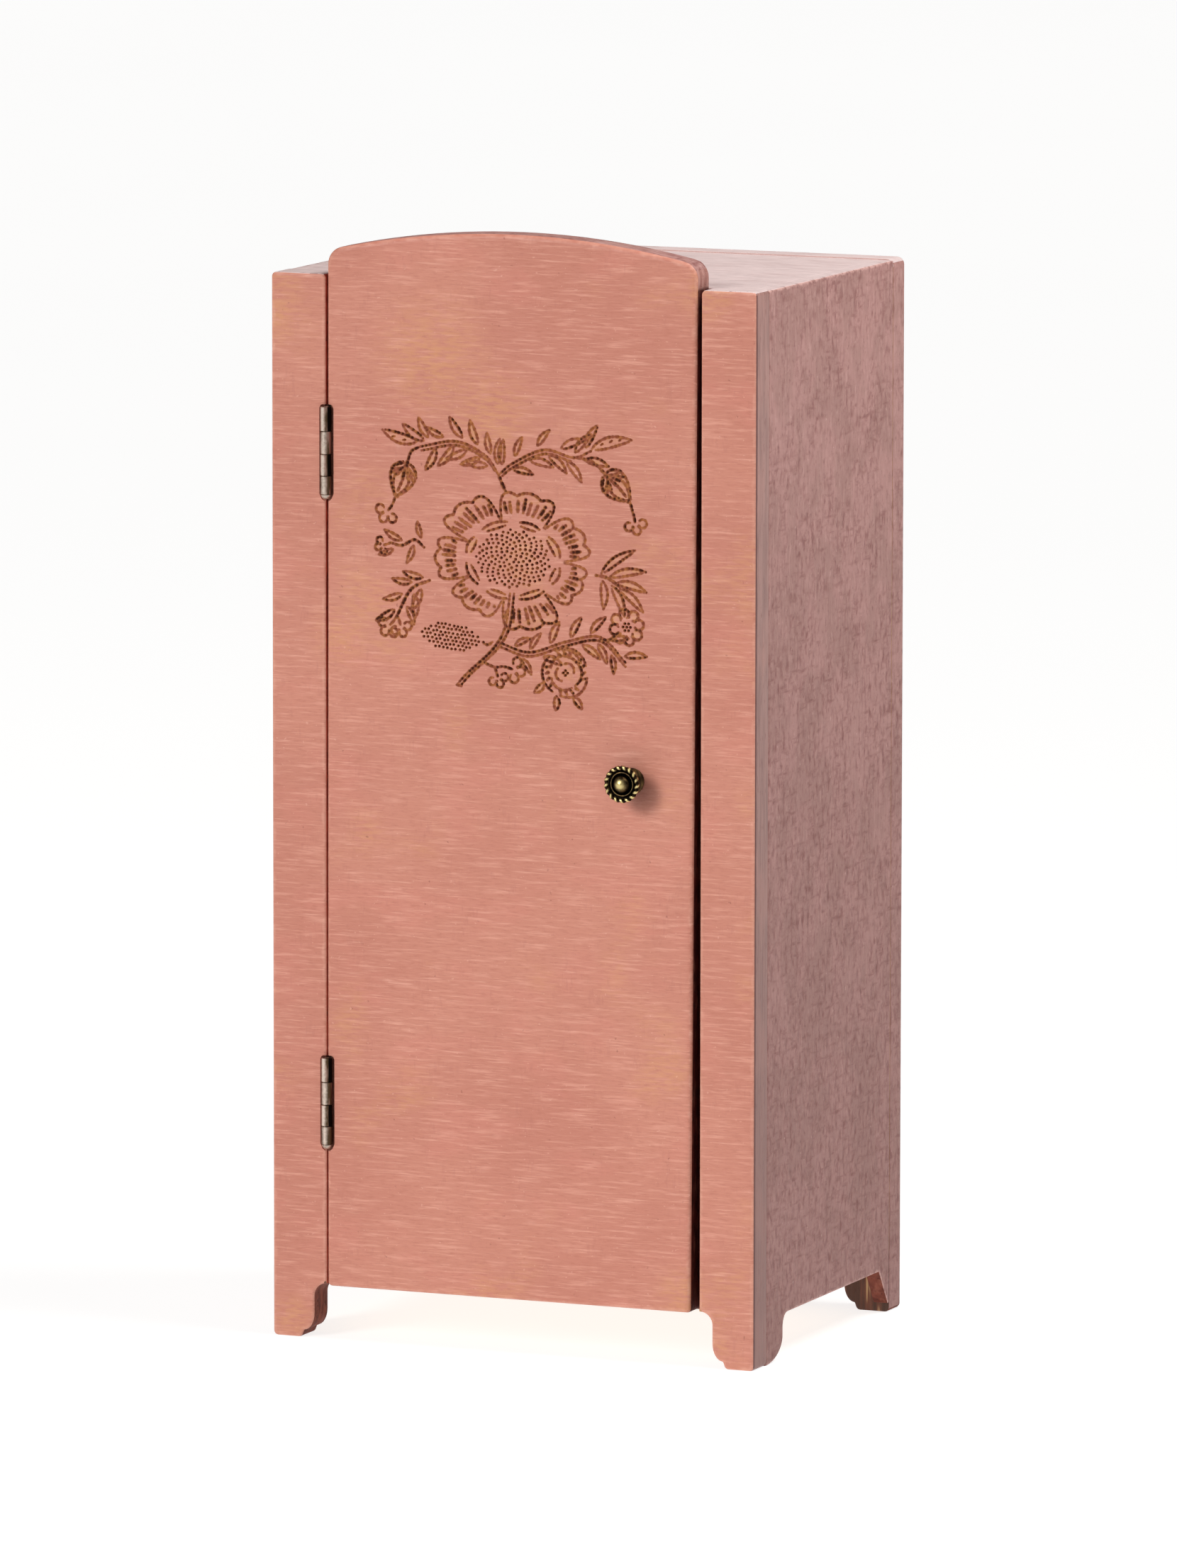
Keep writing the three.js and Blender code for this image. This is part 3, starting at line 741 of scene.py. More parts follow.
def old_brass(name, bright, patina):
    """Antique brass: dark patina in the hollows, brighter metal where hands have worn it, and the
    painted highlights and painted shade that its shine carries.
    """
    s = Shader(name)
    shine = s.attribute("shine")
    mottle = s.noise((1.6, 1.6, 1.6), detail=4, rough=0.6)
    rubbed_and_highlit = s.step(s.plus(shine, s.times(mottle, 0.5)), 0.5, 1.2)
    streaks = s.noise((1.3, 1.3, 0.22), detail=3, shift=(2, 8, 3))
    dark = s.mix(s.step(streaks, 0.4, 0.6), srgb(*patina[0]), srgb(*patina[1]))
    s.colour = s.mix(rubbed_and_highlit, dark, srgb(*bright))
    # painted shade: near black where the shine is lowest, in the knob's hollows and on the hinge
    # barrels' side towards the door
    s.coat(srgb(16, 12, 10), shine, 0.12, -0.3)
    scratches = s.noise((3.5, 3.5, 0.5), detail=2, shift=(3, 1, 2))
    roughness = s.plus(s.step(rubbed_and_highlit, 0, 1, 0.42, 0.3), s.times(scratches, 0.08))
    relief = s.plus(s.times(mottle, 0.7), s.times(scratches, 0.4))
    return s.finish(roughness, s.bump(relief, 0.025), Metallic=1.0)


def steel():
    """Plated steel with fine turning marks."""
    s = Shader("steel")
    marks = s.noise((5, 5, 5), detail=2)
    shade_depth = s.noise((0.8, 0.8, 0.8), detail=3, shift=(3, 3, 3))
    s.colour = s.mix(s.step(shade_depth, 0.4, 0.7), srgb(198, 198, 196), srgb(150, 148, 144))
    return s.finish(s.step(shade_depth, 0.3, 0.7, 0.22, 0.42), s.bump(marks, 0.01), Metallic=1.0)


FACE_Y = box_of("door_panel")[0][1]
SIDE_HEIGHT = box_of("top_panel")[1][2]
PAINTED_ABOVE = SIDE_HEIGHT - 0.1
FRONT = front_paint()
SIDE = side_paint()
EDGE = edge_paint()
# the tops: the side paint made paler, as painted light
TOP = side_paint("top_paint", along=0, pale=0.76, gloss=0.12)
DOOR_TOP = side_paint("door_top_paint", along=0, streaky=0.2)
CUT = thin_paint()
STILE_TOP = box_of("stile_left")[1][2]
HINGED_EDGE = thin_paint("hinged_edge_paint", (184, 78, 58), (152, 56, 42), STILE_TOP)
# the door's free edge, seen in the narrow gap, is painted near black: painted shade of the gap
FREE_EDGE_SHADED = thin_paint("free_edge_painted_shade", (92, 34, 28), (66, 24, 20), STILE_TOP)
WOOD_UP = bare_wood()
WOOD_FEET = bare_wood("stained_wood", stained=FEET_STAIN)
WOOD_ACROSS = bare_wood("shelf_wood", along=0)
BRASS = old_brass("old_brass", (216, 196, 136), ((96, 74, 46), (54, 40, 28)))
BRONZE = old_brass("hinge_brass", (224, 208, 194), ((146, 116, 104), (82, 64, 46)))
STEEL = steel()


# ---- hinge places ----------------------------------------------------------------------------
HINGES = ("upper", "lower")
STEEL_CLEARANCE = 0.05
SCREW_HOLE = 0.95         # radius of the hole behind the knob
ROD_SIDES = 32
LEAF_SEAT = 0.6           # how deep a leaf is let into its board
NOTCH_LEFT, NOTCH_RIGHT = 0.17, 0.29  # room beside a hinge barrel, in the stile and in the door
KNUCKLE_ENDS = (0.005, 0.285, 0.545, 0.79, 1.0)  # down the height of a hinge
KNUCKLE_GAP = 0.05
KNUCKLE_BORE = 0.56       # radius
KNUCKLE_POINTS = 44       # round a knuckle
SEAM_GAP = 0.02           # radians left open where the rolled leaf meets itself
KNUCKLE_SOFT = 0.09       # chamfer at the ends of a knuckle
BARREL_FIT = 0.87         # a rolled barrel's radius, as a share of the frame's solid one
PLATE_NEAR, PLATE_FAR = 0.15, 0.55  # a leaf's two faces, beside the axis
PIN_RADIUS = 0.5
AXIS_X, AXIS_Y = (value / MM for value in frame["joints"][0]["pos_m"][:2])


def block(low, high):
    mesh = bmesh.new()
    bmesh.ops.create_cube(mesh, size=1)
    low, high = np.array(low), np.array(high)
    for p in mesh.verts:
        p.co = (low + high) / 2 + np.array(p.co) * (high - low)
    return mesh


def rod(radius, start, end):
    """A closed cylinder between two points that differ in their second coordinate only."""
    angles = np.linspace(0, 2 * math.pi, ROD_SIDES, endpoint=False)
    mesh = bmesh.new()
    ends = []
    for point in (start, end):
        made = []
        for a in angles:
            spot = np.array(point, float)
            spot[0] += radius * math.cos(a)
            spot[2] += radius * math.sin(a)
            made.append(mesh.verts.new(spot))
        ends.append(made)
    skin(mesh, ends)
    mesh.faces.new(ends[0][::-1])
    mesh.faces.new(ends[1])
    bmesh.ops.recalc_face_normals(mesh, faces=mesh.faces)
    return mesh


def seat_cutters(side, kind):
    """What lets both hinges into the stile (side -1, kind frame) or the door (side 1, kind door)."""
    made = []
    for hinge in HINGES:
        low, high = box_of(f"{hinge}_hinge_{kind}_leaf")
        pin_low, pin_high = box_of(f"{hinge}_hinge_pin")
        xs = sorted((AXIS_X, AXIS_X + side * LEAF_SEAT))
        made.append(block((xs[0], AXIS_Y, low[2] - 0.1), (xs[1], high[1] + 0.1, high[2] + 0.1)))
        wide = AXIS_Y - low[1] + (NOTCH_LEFT if side < 0 else NOTCH_RIGHT)
        foot, head = pin_low[2] - 0.35, pin_high[2] + 0.25
        made.append(turned([(0, foot), (0.35 * wide, foot), (0.72 * wide, foot + 0.45),
                            (wide, foot + 1.4), (wide, head - 0.7), (0.85 * wide, head - 0.2),
                            (0.6 * wide, head), (0, head)],
                           (AXIS_X, AXIS_Y, 0), (0, 0, 1), 40))
    return made


# ---- the carcass -----------------------------------------------------------------------------
def painted_board(name, axis, rounds, materials, pick, corner=CORNER_ROUND, cutters=(),
                  worn_ends=(True, True), keep=None):
    """A board of the carcass, made from its CAD node's own outline."""
    low, high = (corner_of[axis] for corner_of in box_of(name))
    loop = resampled(filleted(cap_outline(name, axis), corner), LONGEST_STRETCH)
    mesh = solid_board(loop, axis, low, high, rounds)
    if cutters:
        mesh = cut_board(mesh, cutters)
    for end, level in enumerate((low, high)):
        tile_face(mesh, axis, level, end, rim_points(loop))
    mark_flat(mesh, axis, (low, high))
    rim = rim_layer(mesh, axis, loop, low, high, worn_ends, keep)
    finished(name + "_painted", "carcass", mesh, materials, [name], pick, {"rim": rim})


def pick_stile(side, inner_edge):
    """Paint by face for the stile on that side (-1 left), with its own paint on the inner edge."""
    def pick(face):
        n = face.normal
        if n.y > 0.7:
            return WOOD_FEET
        if n.z > 0.8:
            return TOP
        if side * n.x > 0.8:
            return EDGE
        if abs(n.y) > 0.2:
            return FRONT
        return inner_edge if face.calc_center_median().z > INNER_EDGE_FROM else CUT
    return pick


def pick_side(side):
    """Paint by face for the side panel on that side."""
    def pick(face):
        n = face.normal
        if side * n.x < -0.5:
            return WOOD_FEET
        if n.z > 0.8:
            return TOP
        return CUT if n.z < -0.15 and abs(n.x) < 0.5 else SIDE
    return pick


def pick_back(face):
    n = face.normal
    if n.y < -0.95:
        return WOOD_FEET
    if n.z > 0.6 or (n.z > 0.05 and n.y < -0.05):
        return TOP
    return CUT if n.z < -0.3 else SIDE


def side_edge_shows(a, b):
    """Whether a stretch of a side panel's outline is an edge that wears: the level ones."""
    return abs(b[1] - a[1]) < 1.2 * abs(b[0] - a[0])


def make_carcass():
    for side, name, inner_edge in ((-1, "stile_left", HINGED_EDGE), (1, "stile_right", CUT)):
        materials = list(dict.fromkeys([FRONT, EDGE, TOP, CUT, WOOD_FEET, inner_edge]))
        painted_board(name, 1, (EDGE_ROUND, JOINT_ROUND), materials,
                      pick_stile(side, inner_edge), worn_ends=(True, False),
                      cutters=seat_cutters(-1, "frame") if side < 0 else ())
    for side, name in ((-1, "side_panel_left"), (1, "side_panel_right")):
        rounds = (SIDE_ROUND, JOINT_ROUND)[::-side]
        painted_board(name, 0, rounds, [SIDE, TOP, CUT, WOOD_FEET], pick_side(side),
                      corner=0.35, worn_ends=(side < 0, side > 0), keep=side_edge_shows)
    painted_board("back_panel", 1, (JOINT_ROUND, BACK_ROUND),
                  [SIDE, TOP, CUT, WOOD_FEET], pick_back, worn_ends=(False, True))
    painted_board("top_panel", 2, (JOINT_ROUND, JOINT_ROUND), [TOP, WOOD_ACROSS],
                  lambda face: TOP if face.normal.z > -0.3 else WOOD_ACROSS, corner=0.3,
                  worn_ends=(False, False), cutters=magnet_cutter())
    painted_board("bottom_panel", 2, (SIDE_ROUND, JOINT_ROUND), [WOOD_ACROSS, CUT],
                  lambda face: CUT if face.normal.y < -0.5 else WOOD_ACROSS, corner=0.3,
                  worn_ends=(False, False))


def magnet_cutter():
    low, high = box_of("door_magnet")
    radius = (high[0] - low[0]) / 2 + STEEL_CLEARANCE
    return [rod(radius, middle_of("door_magnet", 1, low[1] - 1),
                middle_of("door_magnet", 1, high[1] + STEEL_CLEARANCE))]


# ---- the engraving ---------------------------------------------------------------------------
class Engraving:
    """Lines, dots and tinted areas drawn on the door, in millimetres from the motif's middle."""

    def __init__(self, middle):
        self.middle = np.array(middle, float)
        self.random = random.Random(SEED)
        self.points, self.edges = [], []
        self.samples = []  # x, z, half width, depth, burn
        self.tints = []

    def line(self, path, width=1.0, dark=None):
        """A burnt line through the points of a path, deeper and darker at its beads."""
        path = np.asarray(path, float)
        gaps = np.linalg.norm(np.diff(path, axis=0), axis=1)
        run = np.concatenate([[0], np.cumsum(gaps)])
        steps = max(3, round(run[-1] / BEAD_PITCH * BEAD_SAMPLES))
        s = np.linspace(0, run[-1], steps + 1)
        centre = np.stack([np.interp(s, run, path[:, k]) for k in (0, 1)], axis=1)
        heading = np.gradient(centre, axis=0)
        heading /= np.maximum(np.linalg.norm(heading, axis=1), 1e-9)[:, None]
        normal = np.stack([-heading[:, 1], heading[:, 0]], axis=1)
        phase, swing = self.random.random() * math.tau, self.random.uniform(0.12, 0.3)
        wander = 0.16 * np.sin(1.9 * s + 3 * phase) + 0.1 * np.sin(4.3 * s + phase)
        bead = 0.5 + 0.5 * np.cos(math.tau * (s + wander) / BEAD_PITCH + phase)
        strength = self.random.uniform(0.35, 1.0) if dark is None else dark
        ends = np.sin(math.pi * np.clip(s / max(run[-1], 1e-6), 0.04, 0.96)) ** 0.35
        fade = 0.6 + 0.4 * np.sin(swing * s + phase) + 0.2 * np.sin(2.7 * s - phase)
        half = PEN_WIDTH * width * (0.8 + 0.25 * bead) * (0.7 + 0.3 * ends)
        deep = PEN_DEPTH * (0.6 + 0.4 * bead) * (0.5 + 0.5 * ends)
        burn = np.clip(0.2 + 0.16 * strength + 0.85 * strength * fade * bead, 0, 1)
        first = len(self.points)
        for side in PEN_ROWS:
            self.points += list(centre + normal * (half * side)[:, None])
        count = len(centre)
        starts = [first + row * count for row in range(len(PEN_ROWS))]
        for start in starts:
            self.edges += [(start + i, start + i + 1) for i in range(count - 1)]
        for end, way in ((0, -1), (count - 1, 1)):
            tip = len(self.points)
            for angle in (-45, 0, 45):
                a = math.radians(angle)
                spoke = heading[end] * way * math.cos(a) + normal[end] * math.sin(a)
                self.points.append(centre[end] + spoke * half[end])
            chain = [first + end, tip, tip + 1, tip + 2, starts[-1] + end]
            self.edges += list(zip(chain, chain[1:]))
        self.samples += list(zip(centre[:, 0], centre[:, 1], half, deep, burn))

    def dot(self, x, z, radius, dark):
        """A burnt pit."""
        self.points.append(np.array((x, z)))
        for ring, sides in ((0.5, 6), (1.0, 9)):
            start = len(self.points)
            for k in range(sides):
                a = math.tau * k / sides
                self.points.append(np.array((x + radius * ring * math.cos(a),
                                             z + radius * ring * math.sin(a))))
            self.edges += [(start + k, start + (k + 1) % sides) for k in range(sides)]
        self.samples.append((x, z, radius, PEN_DEPTH, dark))

    def tint(self, loop, amount):
        """An area where the golden undercoat was left showing."""
        self.tints.append((np.asarray(loop, float), amount))

    def heights(self, places):
        """Depth, burn and gilt at each place, from every line and dot near it."""
        tree = kdtree.KDTree(len(self.samples))
        for i, sample in enumerate(self.samples):
            tree.insert((sample[0], sample[1], 0), i)
        tree.balance()
        deep, burn = np.zeros(len(places)), np.zeros(len(places))
        reach = max(sample[2] for sample in self.samples) * 1.02
        for k, (x, z) in enumerate(places):
            for _, i, away in tree.find_range((x, z, 0), reach):
                _, _, half, most, dark = self.samples[i]
                u = away / half
                if u < 0.985:
                    shape = 1 - u * u
                    deep[k] = max(deep[k], most * shape)
                    burn[k] = max(burn[k], dark * shape ** 0.7)
        gilt = np.zeros(len(places))
        for loop, amount in self.tints:
            gilt = np.maximum(gilt, amount * inside(places, [loop]))
        return deep, burn, gilt


def curve(*points, steps=24):
    """A smooth path through the points."""
    p = np.array([2 * np.array(points[0]) - points[1], *points,
                  2 * np.array(points[-1]) - points[-2]], float)
    made = []
    for i in range(1, len(p) - 2):
        for t in np.linspace(0, 1, steps, endpoint=i == len(p) - 3):
            made.append(0.5 * (2 * p[i] + (p[i + 1] - p[i - 1]) * t
                               + (2 * p[i - 1] - 5 * p[i] + 4 * p[i + 1] - p[i + 2]) * t * t
                               + (3 * p[i] - p[i - 1] - 3 * p[i + 1] + p[i + 2]) * t ** 3))
    return np.array(made)


def polar(x, z, degrees, reach):
    a = math.radians(degrees)
    return np.array((x + reach * math.cos(a), z + reach * math.sin(a)))


def leaf(art, x, z, degrees, length, width, gold=0.0, veins=0):
    """An outlined narrow leaf that starts at a point and runs in a direction."""
    base, tip = np.array((x, z)), polar(x, z, degrees, length)
    across = np.array((-(tip - base)[1], (tip - base)[0])) / length
    t = np.linspace(0, 1, 14)
    bulge = width / 2 * np.sin(math.pi * t ** 0.85) ** 0.8
    spine = base + np.outer(t, tip - base) + np.outer(np.sin(math.pi * t) * 0.06 * length, across)
    one, two = spine + bulge[:, None] * across, spine - bulge[:, None] * across
    art.line(one)
    art.line(two[1:-1])
    if gold:
        art.tint(np.concatenate([one, two[::-1]]), gold)
    for k in range(veins):
        mid = spine[int((k + 1) * 13 / (veins + 1))]
        art.line([mid, polar(*mid, degrees + 24, width * 0.3)], width=0.8)


STEM_BARE = 0.1  # share of a stem before its first leaf
LEAF_SLOPE = 42  # degrees between a stem and its leaves


def leafy(art, path, leaves, size, side_first=1):
    """Leaves set alternately along a stem, about half of them golden."""
    for k in range(leaves):
        spot = STEM_BARE + (1 - STEM_BARE) * (k + 0.5) / leaves
        i = min(int(spot * (len(path) - 1)), len(path) - 2)
        ahead = math.degrees(math.atan2(*(path[i + 1] - path[i])[::-1]))
        side = side_first * (1 if k % 2 else -1)
        turn = ahead + side * (LEAF_SLOPE + art.random.uniform(-10, 10))
        start = polar(*path[i], ahead + side * 90, 1.0)
        long = size * art.random.uniform(0.85, 1.2)
        leaf(art, *start, turn, long, long * 0.26,
             gold=art.random.uniform(0.4, 1) if art.random.random() < 0.5 else 0)


def big_flower(art, x, z):
    """A full-blown flower seen a little from the side: scalloped petals round a dotted heart."""
    flatten = 0.76
    petals = 7
    spread = 360 / petals
    outer, inner = 17.4, 10.6
    tint_reach = 14.6
    dashes, dash_foot, dash_head = 8, 11.7, 15.3
    collar_out, collar_in = 9.7, 9.0
    seeds, heart = 165, 7.7
    golden_angle = math.pi * (3 - math.sqrt(5))

    def at(degrees, reach, lift=0.0):
        a = math.radians(degrees)
        return np.array((x + reach * math.cos(a), z + lift + flatten * reach * math.sin(a)))

    for k in range(petals):
        start = 104 + k * spread
        size = 0.97 + 0.07 * math.sin(2.3 * k + 1)
        edge = []
        for t in np.linspace(0, 1, 60):
            lobes = 1.2 * abs(math.sin(3 * math.pi * (0.04 + 0.92 * t))) ** 0.7
            flank = 1 - (2 * abs(t - 0.5)) ** 8
            reach = inner + (outer * size - inner - 1.7) * flank + lobes * flank
            edge.append(at(start + spread * (0.02 + 0.96 * t), reach))
        art.line(edge, dark=0.45 + 0.5 * (k % 3 == 0))
        band = [at(start + spread * t, tint_reach * size) for t in np.linspace(0.92, 0.08, 12)]
        art.tint(np.concatenate([edge[8:-8], band]), (0.5, 0.15, 0.3)[k % 3])
        for j in range(dashes):
            t = 0.09 + 0.82 * (j + 0.5) / dashes
            angle = start + spread * t + art.random.uniform(-0.8, 0.8)
            curl = 3.0 * (t - 0.5)
            near = dash_foot + 0.6 * abs(2 * t - 1) + art.random.uniform(-0.2, 0.4)
            far = dash_head * size - 2.0 * abs(2 * t - 1) ** 2 + art.random.uniform(-0.6, 0.3)
            art.line([at(angle, near), at(angle + curl, (near + far) / 2), at(angle + curl, far)],
                     width=1.25, dark=art.random.uniform(0.6, 1))
    for k in range(8):
        angle = 24 + 45 * k
        long = (17, 13)[k % 2]
        sweep = np.linspace(-long, long, 11)
        bow = [math.cos(d / long * 1.5) for d in sweep]
        arc = [at(angle + d, collar_out + 0.35 * b) for d, b in zip(sweep, bow)]
        back = [at(angle + d, collar_in - 0.45 * b) for d, b in zip(sweep, bow)]
        art.line(arc, dark=0.9)
        art.line(back[1:-1], width=0.9, dark=0.6)
        art.tint(np.concatenate([arc, back[::-1]]), (0.9, 0.2, 0.5)[k % 3])
    for k in range(seeds):
        reach = heart * math.sqrt((k + 0.5) / seeds)
        px = x + reach * math.cos(k * golden_angle) + art.random.uniform(-0.08, 0.08)
        pz = z + 0.3 + 0.72 * reach * math.sin(k * golden_angle) + art.random.uniform(-0.08, 0.08)
        art.dot(px, pz, radius=SEED_RADIUS * art.random.uniform(0.85, 1.1),
                dark=art.random.uniform(0.6, 1))
    art.tint([at(a, 5.0, 0.3) for a in range(0, 360, 20)], 0.35)


def bud(art, x, z, degrees, size):
    """A closed flower: an egg of petals folded over each other, in a cup of three short leaves."""
    def at(along, aside):
        return polar(*polar(x, z, degrees, size * along), degrees + 90, size * aside)

    sides = []
    for side in (-1, 1):
        path = [at(t * 0.98, side * 0.36 * math.sin(math.pi * min(t ** 0.72, 0.97)) ** 0.8)
                for t in np.linspace(0.03, 1, 16)]
        sides.append(path)
        art.line(path, dark=0.85)
        fold = [at(0.12 + 0.82 * t, side * (0.02 + 0.2 * math.sin(math.pi * t) ** 0.9))
                for t in np.linspace(0, 1, 12)]
        art.line(fold, dark=0.7)
    art.line([at(0.16, 0.0), at(0.5, 0.03), at(0.84, 0.0)], width=1.1, dark=0.8)
    for k in range(5):
        aside = 0.115 * (k - 2)
        art.line([at(0.24, aside * 0.7), at(0.42, aside * 1.35)], width=1.1, dark=0.9)
    art.tint(np.concatenate([sides[0], sides[1][::-1]]), 0.55)
    for turn in (-112, 112):
        leaf(art, *at(0.04, 0), degrees + turn * 0.5, size * 0.46, size * 0.13, gold=0.4)
    art.line([at(-0.12, 0), at(0.1, 0)], width=1.3, dark=0.9)


def floret(art, x, z, degrees, size):
    """Three loops at the end of a short stalk."""
    heart = polar(x, z, degrees, size * 0.45)
    art.line([(x, z), polar(x, z, degrees + 5, size * 0.2), heart], dark=0.9)
    for turn in (-68, 0, 68):
        middle = polar(*heart, degrees + turn, size * 0.36)
        loop = [polar(*middle, degrees + turn + a, size * 0.19) for a in range(-150, 151, 30)]
        art.line(loop, width=0.95, dark=art.random.uniform(0.6, 1))
        art.tint(loop, 0.5 * art.random.random())


def daisy(art, x, z, size):
    """A small open flower of round petals."""
    petals = 8
    for k in range(7):
        art.dot(*polar(x, z, 60 * k, 0.75 * (k > 0)), radius=SEED_RADIUS, dark=0.9)
    for k in range(petals):
        px, pz = polar(x, z, 360 * k / petals + 12, size * 0.66)
        ring = [polar(px, pz, a + 360 * k / petals, size * 0.25) for a in range(-150, 151, 30)]
        art.line(ring, dark=art.random.uniform(0.5, 1))
        art.tint(ring, 0.8 * (k % 2))


def rosette(art, x, z, size):
    """A half-open rose: petals wrapped round a spiral."""
    for k, (start, reach) in enumerate(((20, 1.0), (140, 1.0), (255, 1.0), (70, 0.68), (200, 0.68),
                                        (310, 0.68), (0, 0.38), (150, 0.38))):
        span = 96
        arc = [polar(x, z, start + a, size * (reach + 0.07 * math.sin(a / span * 3.1)))
               for a in np.linspace(0, span, 12)]
        art.line(arc, dark=0.6 + 0.4 * (k % 2))
    for k in range(20):
        angle = 18 * k
        if k % 5 != 3:
            art.line([polar(x, z, angle, size * 0.76), polar(x, z, angle + 5, size * 0.92)],
                     width=1.15, dark=0.9)
    for k in range(4):
        art.dot(*polar(x, z, 90 * k, 0.45), radius=SEED_RADIUS, dark=0.9)
    art.tint([polar(x, z, a, size * 0.95) for a in range(-30, 200, 20)], 0.5)


def dotted_leaf(art, x, z, degrees, length, width):
    """A leaf shape filled with dots, row by row."""
    pitch = 0.84
    for row in range(-3, 4):
        offset = row * pitch * 0.88
        for k in range(int(length / pitch)):
            along = (k + 0.5 + 0.5 * (row % 2)) * pitch
            if abs(offset) < width / 2 * math.sin(math.pi * min(along / length, 1)) + 0.1:
                px, pz = polar(*polar(x, z, degrees, along), degrees + 90, offset)
                art.dot(px + art.random.uniform(-0.1, 0.1), pz + art.random.uniform(-0.1, 0.1),
                        radius=SEED_RADIUS * 0.95, dark=art.random.uniform(0.7, 1))


def draw_motif(art):
    """The whole spray: one big flower, a forked branch above, sprigs beside and a stem below."""
    flower = (0.6, -0.6)
    big_flower(art, *flower)
    stem = curve((0.4, -6.9), (-0.6, -13.4), (-3.2, -17.8), (-8.4, -22.6), (-10.6, -25.0))
    for shift in (-0.42, 0.42):
        art.line(stem + (shift, 0), dark=0.9)
    art.line([(-11.1, -25.0), (-10.1, -25.2)])

    fork = (-2.4, 15.6)
    art.line(curve((-1.0, 12.6), (-1.6, 13.8), fork, steps=8), width=1.2, dark=1)
    left = curve(fork, (-5.2, 19.2), (-11.2, 21.6), (-18.6, 20.3))
    right = curve(fork, (0.6, 18.0), (7.0, 20.8), (13.0, 19.6), (16.6, 21.0))
    art.line(left, dark=0.9)
    art.line(left[10:] + (0.15, -0.75), dark=0.6)
    art.line(right, dark=0.8)
    art.line(right[6:70] + (0.1, -0.75), dark=0.6)
    leafy(art, left, 11, 4.6)
    leafy(art, right, 11, 4.4, side_first=-1)
    art.line(curve((-18.6, 20.3), (-20.4, 19.4), (-21.2, 17.6), steps=8), dark=0.9)
    bud(art, -21.3, 17.2, 250, 7.2)
    leaf(art, -19.4, 21.2, 164, 7.4, 1.9, gold=0.5, veins=2)
    leaf(art, -17.0, 22.2, 118, 4.2, 1.2, gold=0.4)
    floret(art, -24.2, 9.4, 236, 4.6)
    art.line(curve((-23.0, 11.0), (-23.8, 10.4), (-24.2, 9.4), steps=6), dark=0.7)
    art.line(curve((13.0, 19.6), (16.4, 19.2), (19.2, 17.2)), dark=0.9)
    bud(art, 19.4, 16.9, -44, 7.4)
    leaf(art, 16.8, 21.4, 14, 8.4, 2.0, gold=0.4, veins=3)
    art.line([(24.6, 11.9), (25.2, 9.8)], dark=0.9)
    floret(art, 25.2, 9.8, -76, 4.4)

    sprig = curve((-17.8, 1.0), (-19.8, 2.4), (-22.4, 1.2), (-24.8, 1.6))
    art.line(sprig, width=1.1, dark=0.9)
    leafy(art, sprig, 4, 3.5)
    floret(art, -24.8, 1.6, 200, 3.4)

    spray = curve((17.6, -2.6), (20.0, -3.0), (22.6, -4.6))
    art.line(spray, width=1.2, dark=1)
    for x, z, turn, long, gold in ((18.8, -2.2, 34, 8.4, 0.4), (20.6, -2.8, 10, 7.4, 0.9),
                                   (22.0, -3.9, -14, 6.2, 0.8), (22.6, -5.0, -42, 6.4, 0.5),
                                   (20.9, -4.4, -66, 6.4, 0.5), (19.0, -3.6, -88, 5.4, 0)):
        leaf(art, x, z, turn, long, 1.35, gold=gold)

    branch = curve((-2.4, -16.8), (4.0, -18.4), (11.6, -16.0), (18.6, -14.8), (23.8, -19.4))
    for shift in (-0.38, 0.38):
        art.line(branch + (0, shift), dark=0.8)
    leafy(art, branch, 13, 4.1, side_first=-1)
    art.line(curve((18.6, -14.8), (20.4, -14.8), (21.9, -13.6), steps=8), dark=0.9)
    daisy(art, 24.0, -12.2, 3.9)
    rosette(art, 11.4, -21.6, 4.5)
    for turn in (-70, -112, 206):
        leaf(art, *polar(11.4, -21.6, turn, 4.9), turn + 18, 2.8, 1.1, gold=0.5)

    dotted_leaf(art, -5.2, -16.6, 174, 14.0, 5.6)
    art.line(curve((-3.6, -16.4), (-4.6, -17.0), (-5.4, -16.8), steps=8), dark=1)
    art.line(curve((-5.6, -20.4), (-3.2, -21.2), (-1.6, -21.0), steps=8), dark=0.9)
    floret(art, -1.6, -21.0, -12, 4.8)
    floret(art, -3.2, -21.3, -70, 4.0)
    twig = curve((-16.6, -5.2), (-20.6, -7.2), (-23.6, -12.6))
    art.line(twig, width=1.15, dark=0.9)
    leafy(art, twig, 7, 4.0)
    floret(art, -23.6, -12.6, 230, 4.6)
    floret(art, -23.4, -12.4, 290, 4.2)


def engraved_points(art):
    """The engraving's points and edges on the door, with a loose grid to carry the tints."""
    low = np.min(art.points, axis=0) - 2 * TINT_PITCH
    high = np.max(art.points, axis=0) + 2 * TINT_PITCH
    xs, zs = (np.arange(low[k], high[k], TINT_PITCH) for k in (0, 1))
    grid = [np.array((x + 0.3 * (k % 2), z)) for k, x in enumerate(xs) for z in zs]
    return [p + art.middle for p in [*art.points, *grid]], art.edges


# ---- the door --------------------------------------------------------------------------------
def pick_door(face):
    n = face.normal
    if n.y < -0.3 or n.y > 0.7:
        return FRONT
    if n.z > 0.5:
        return DOOR_TOP
    return HINGED_EDGE if n.x < 0 else FREE_EDGE_SHADED


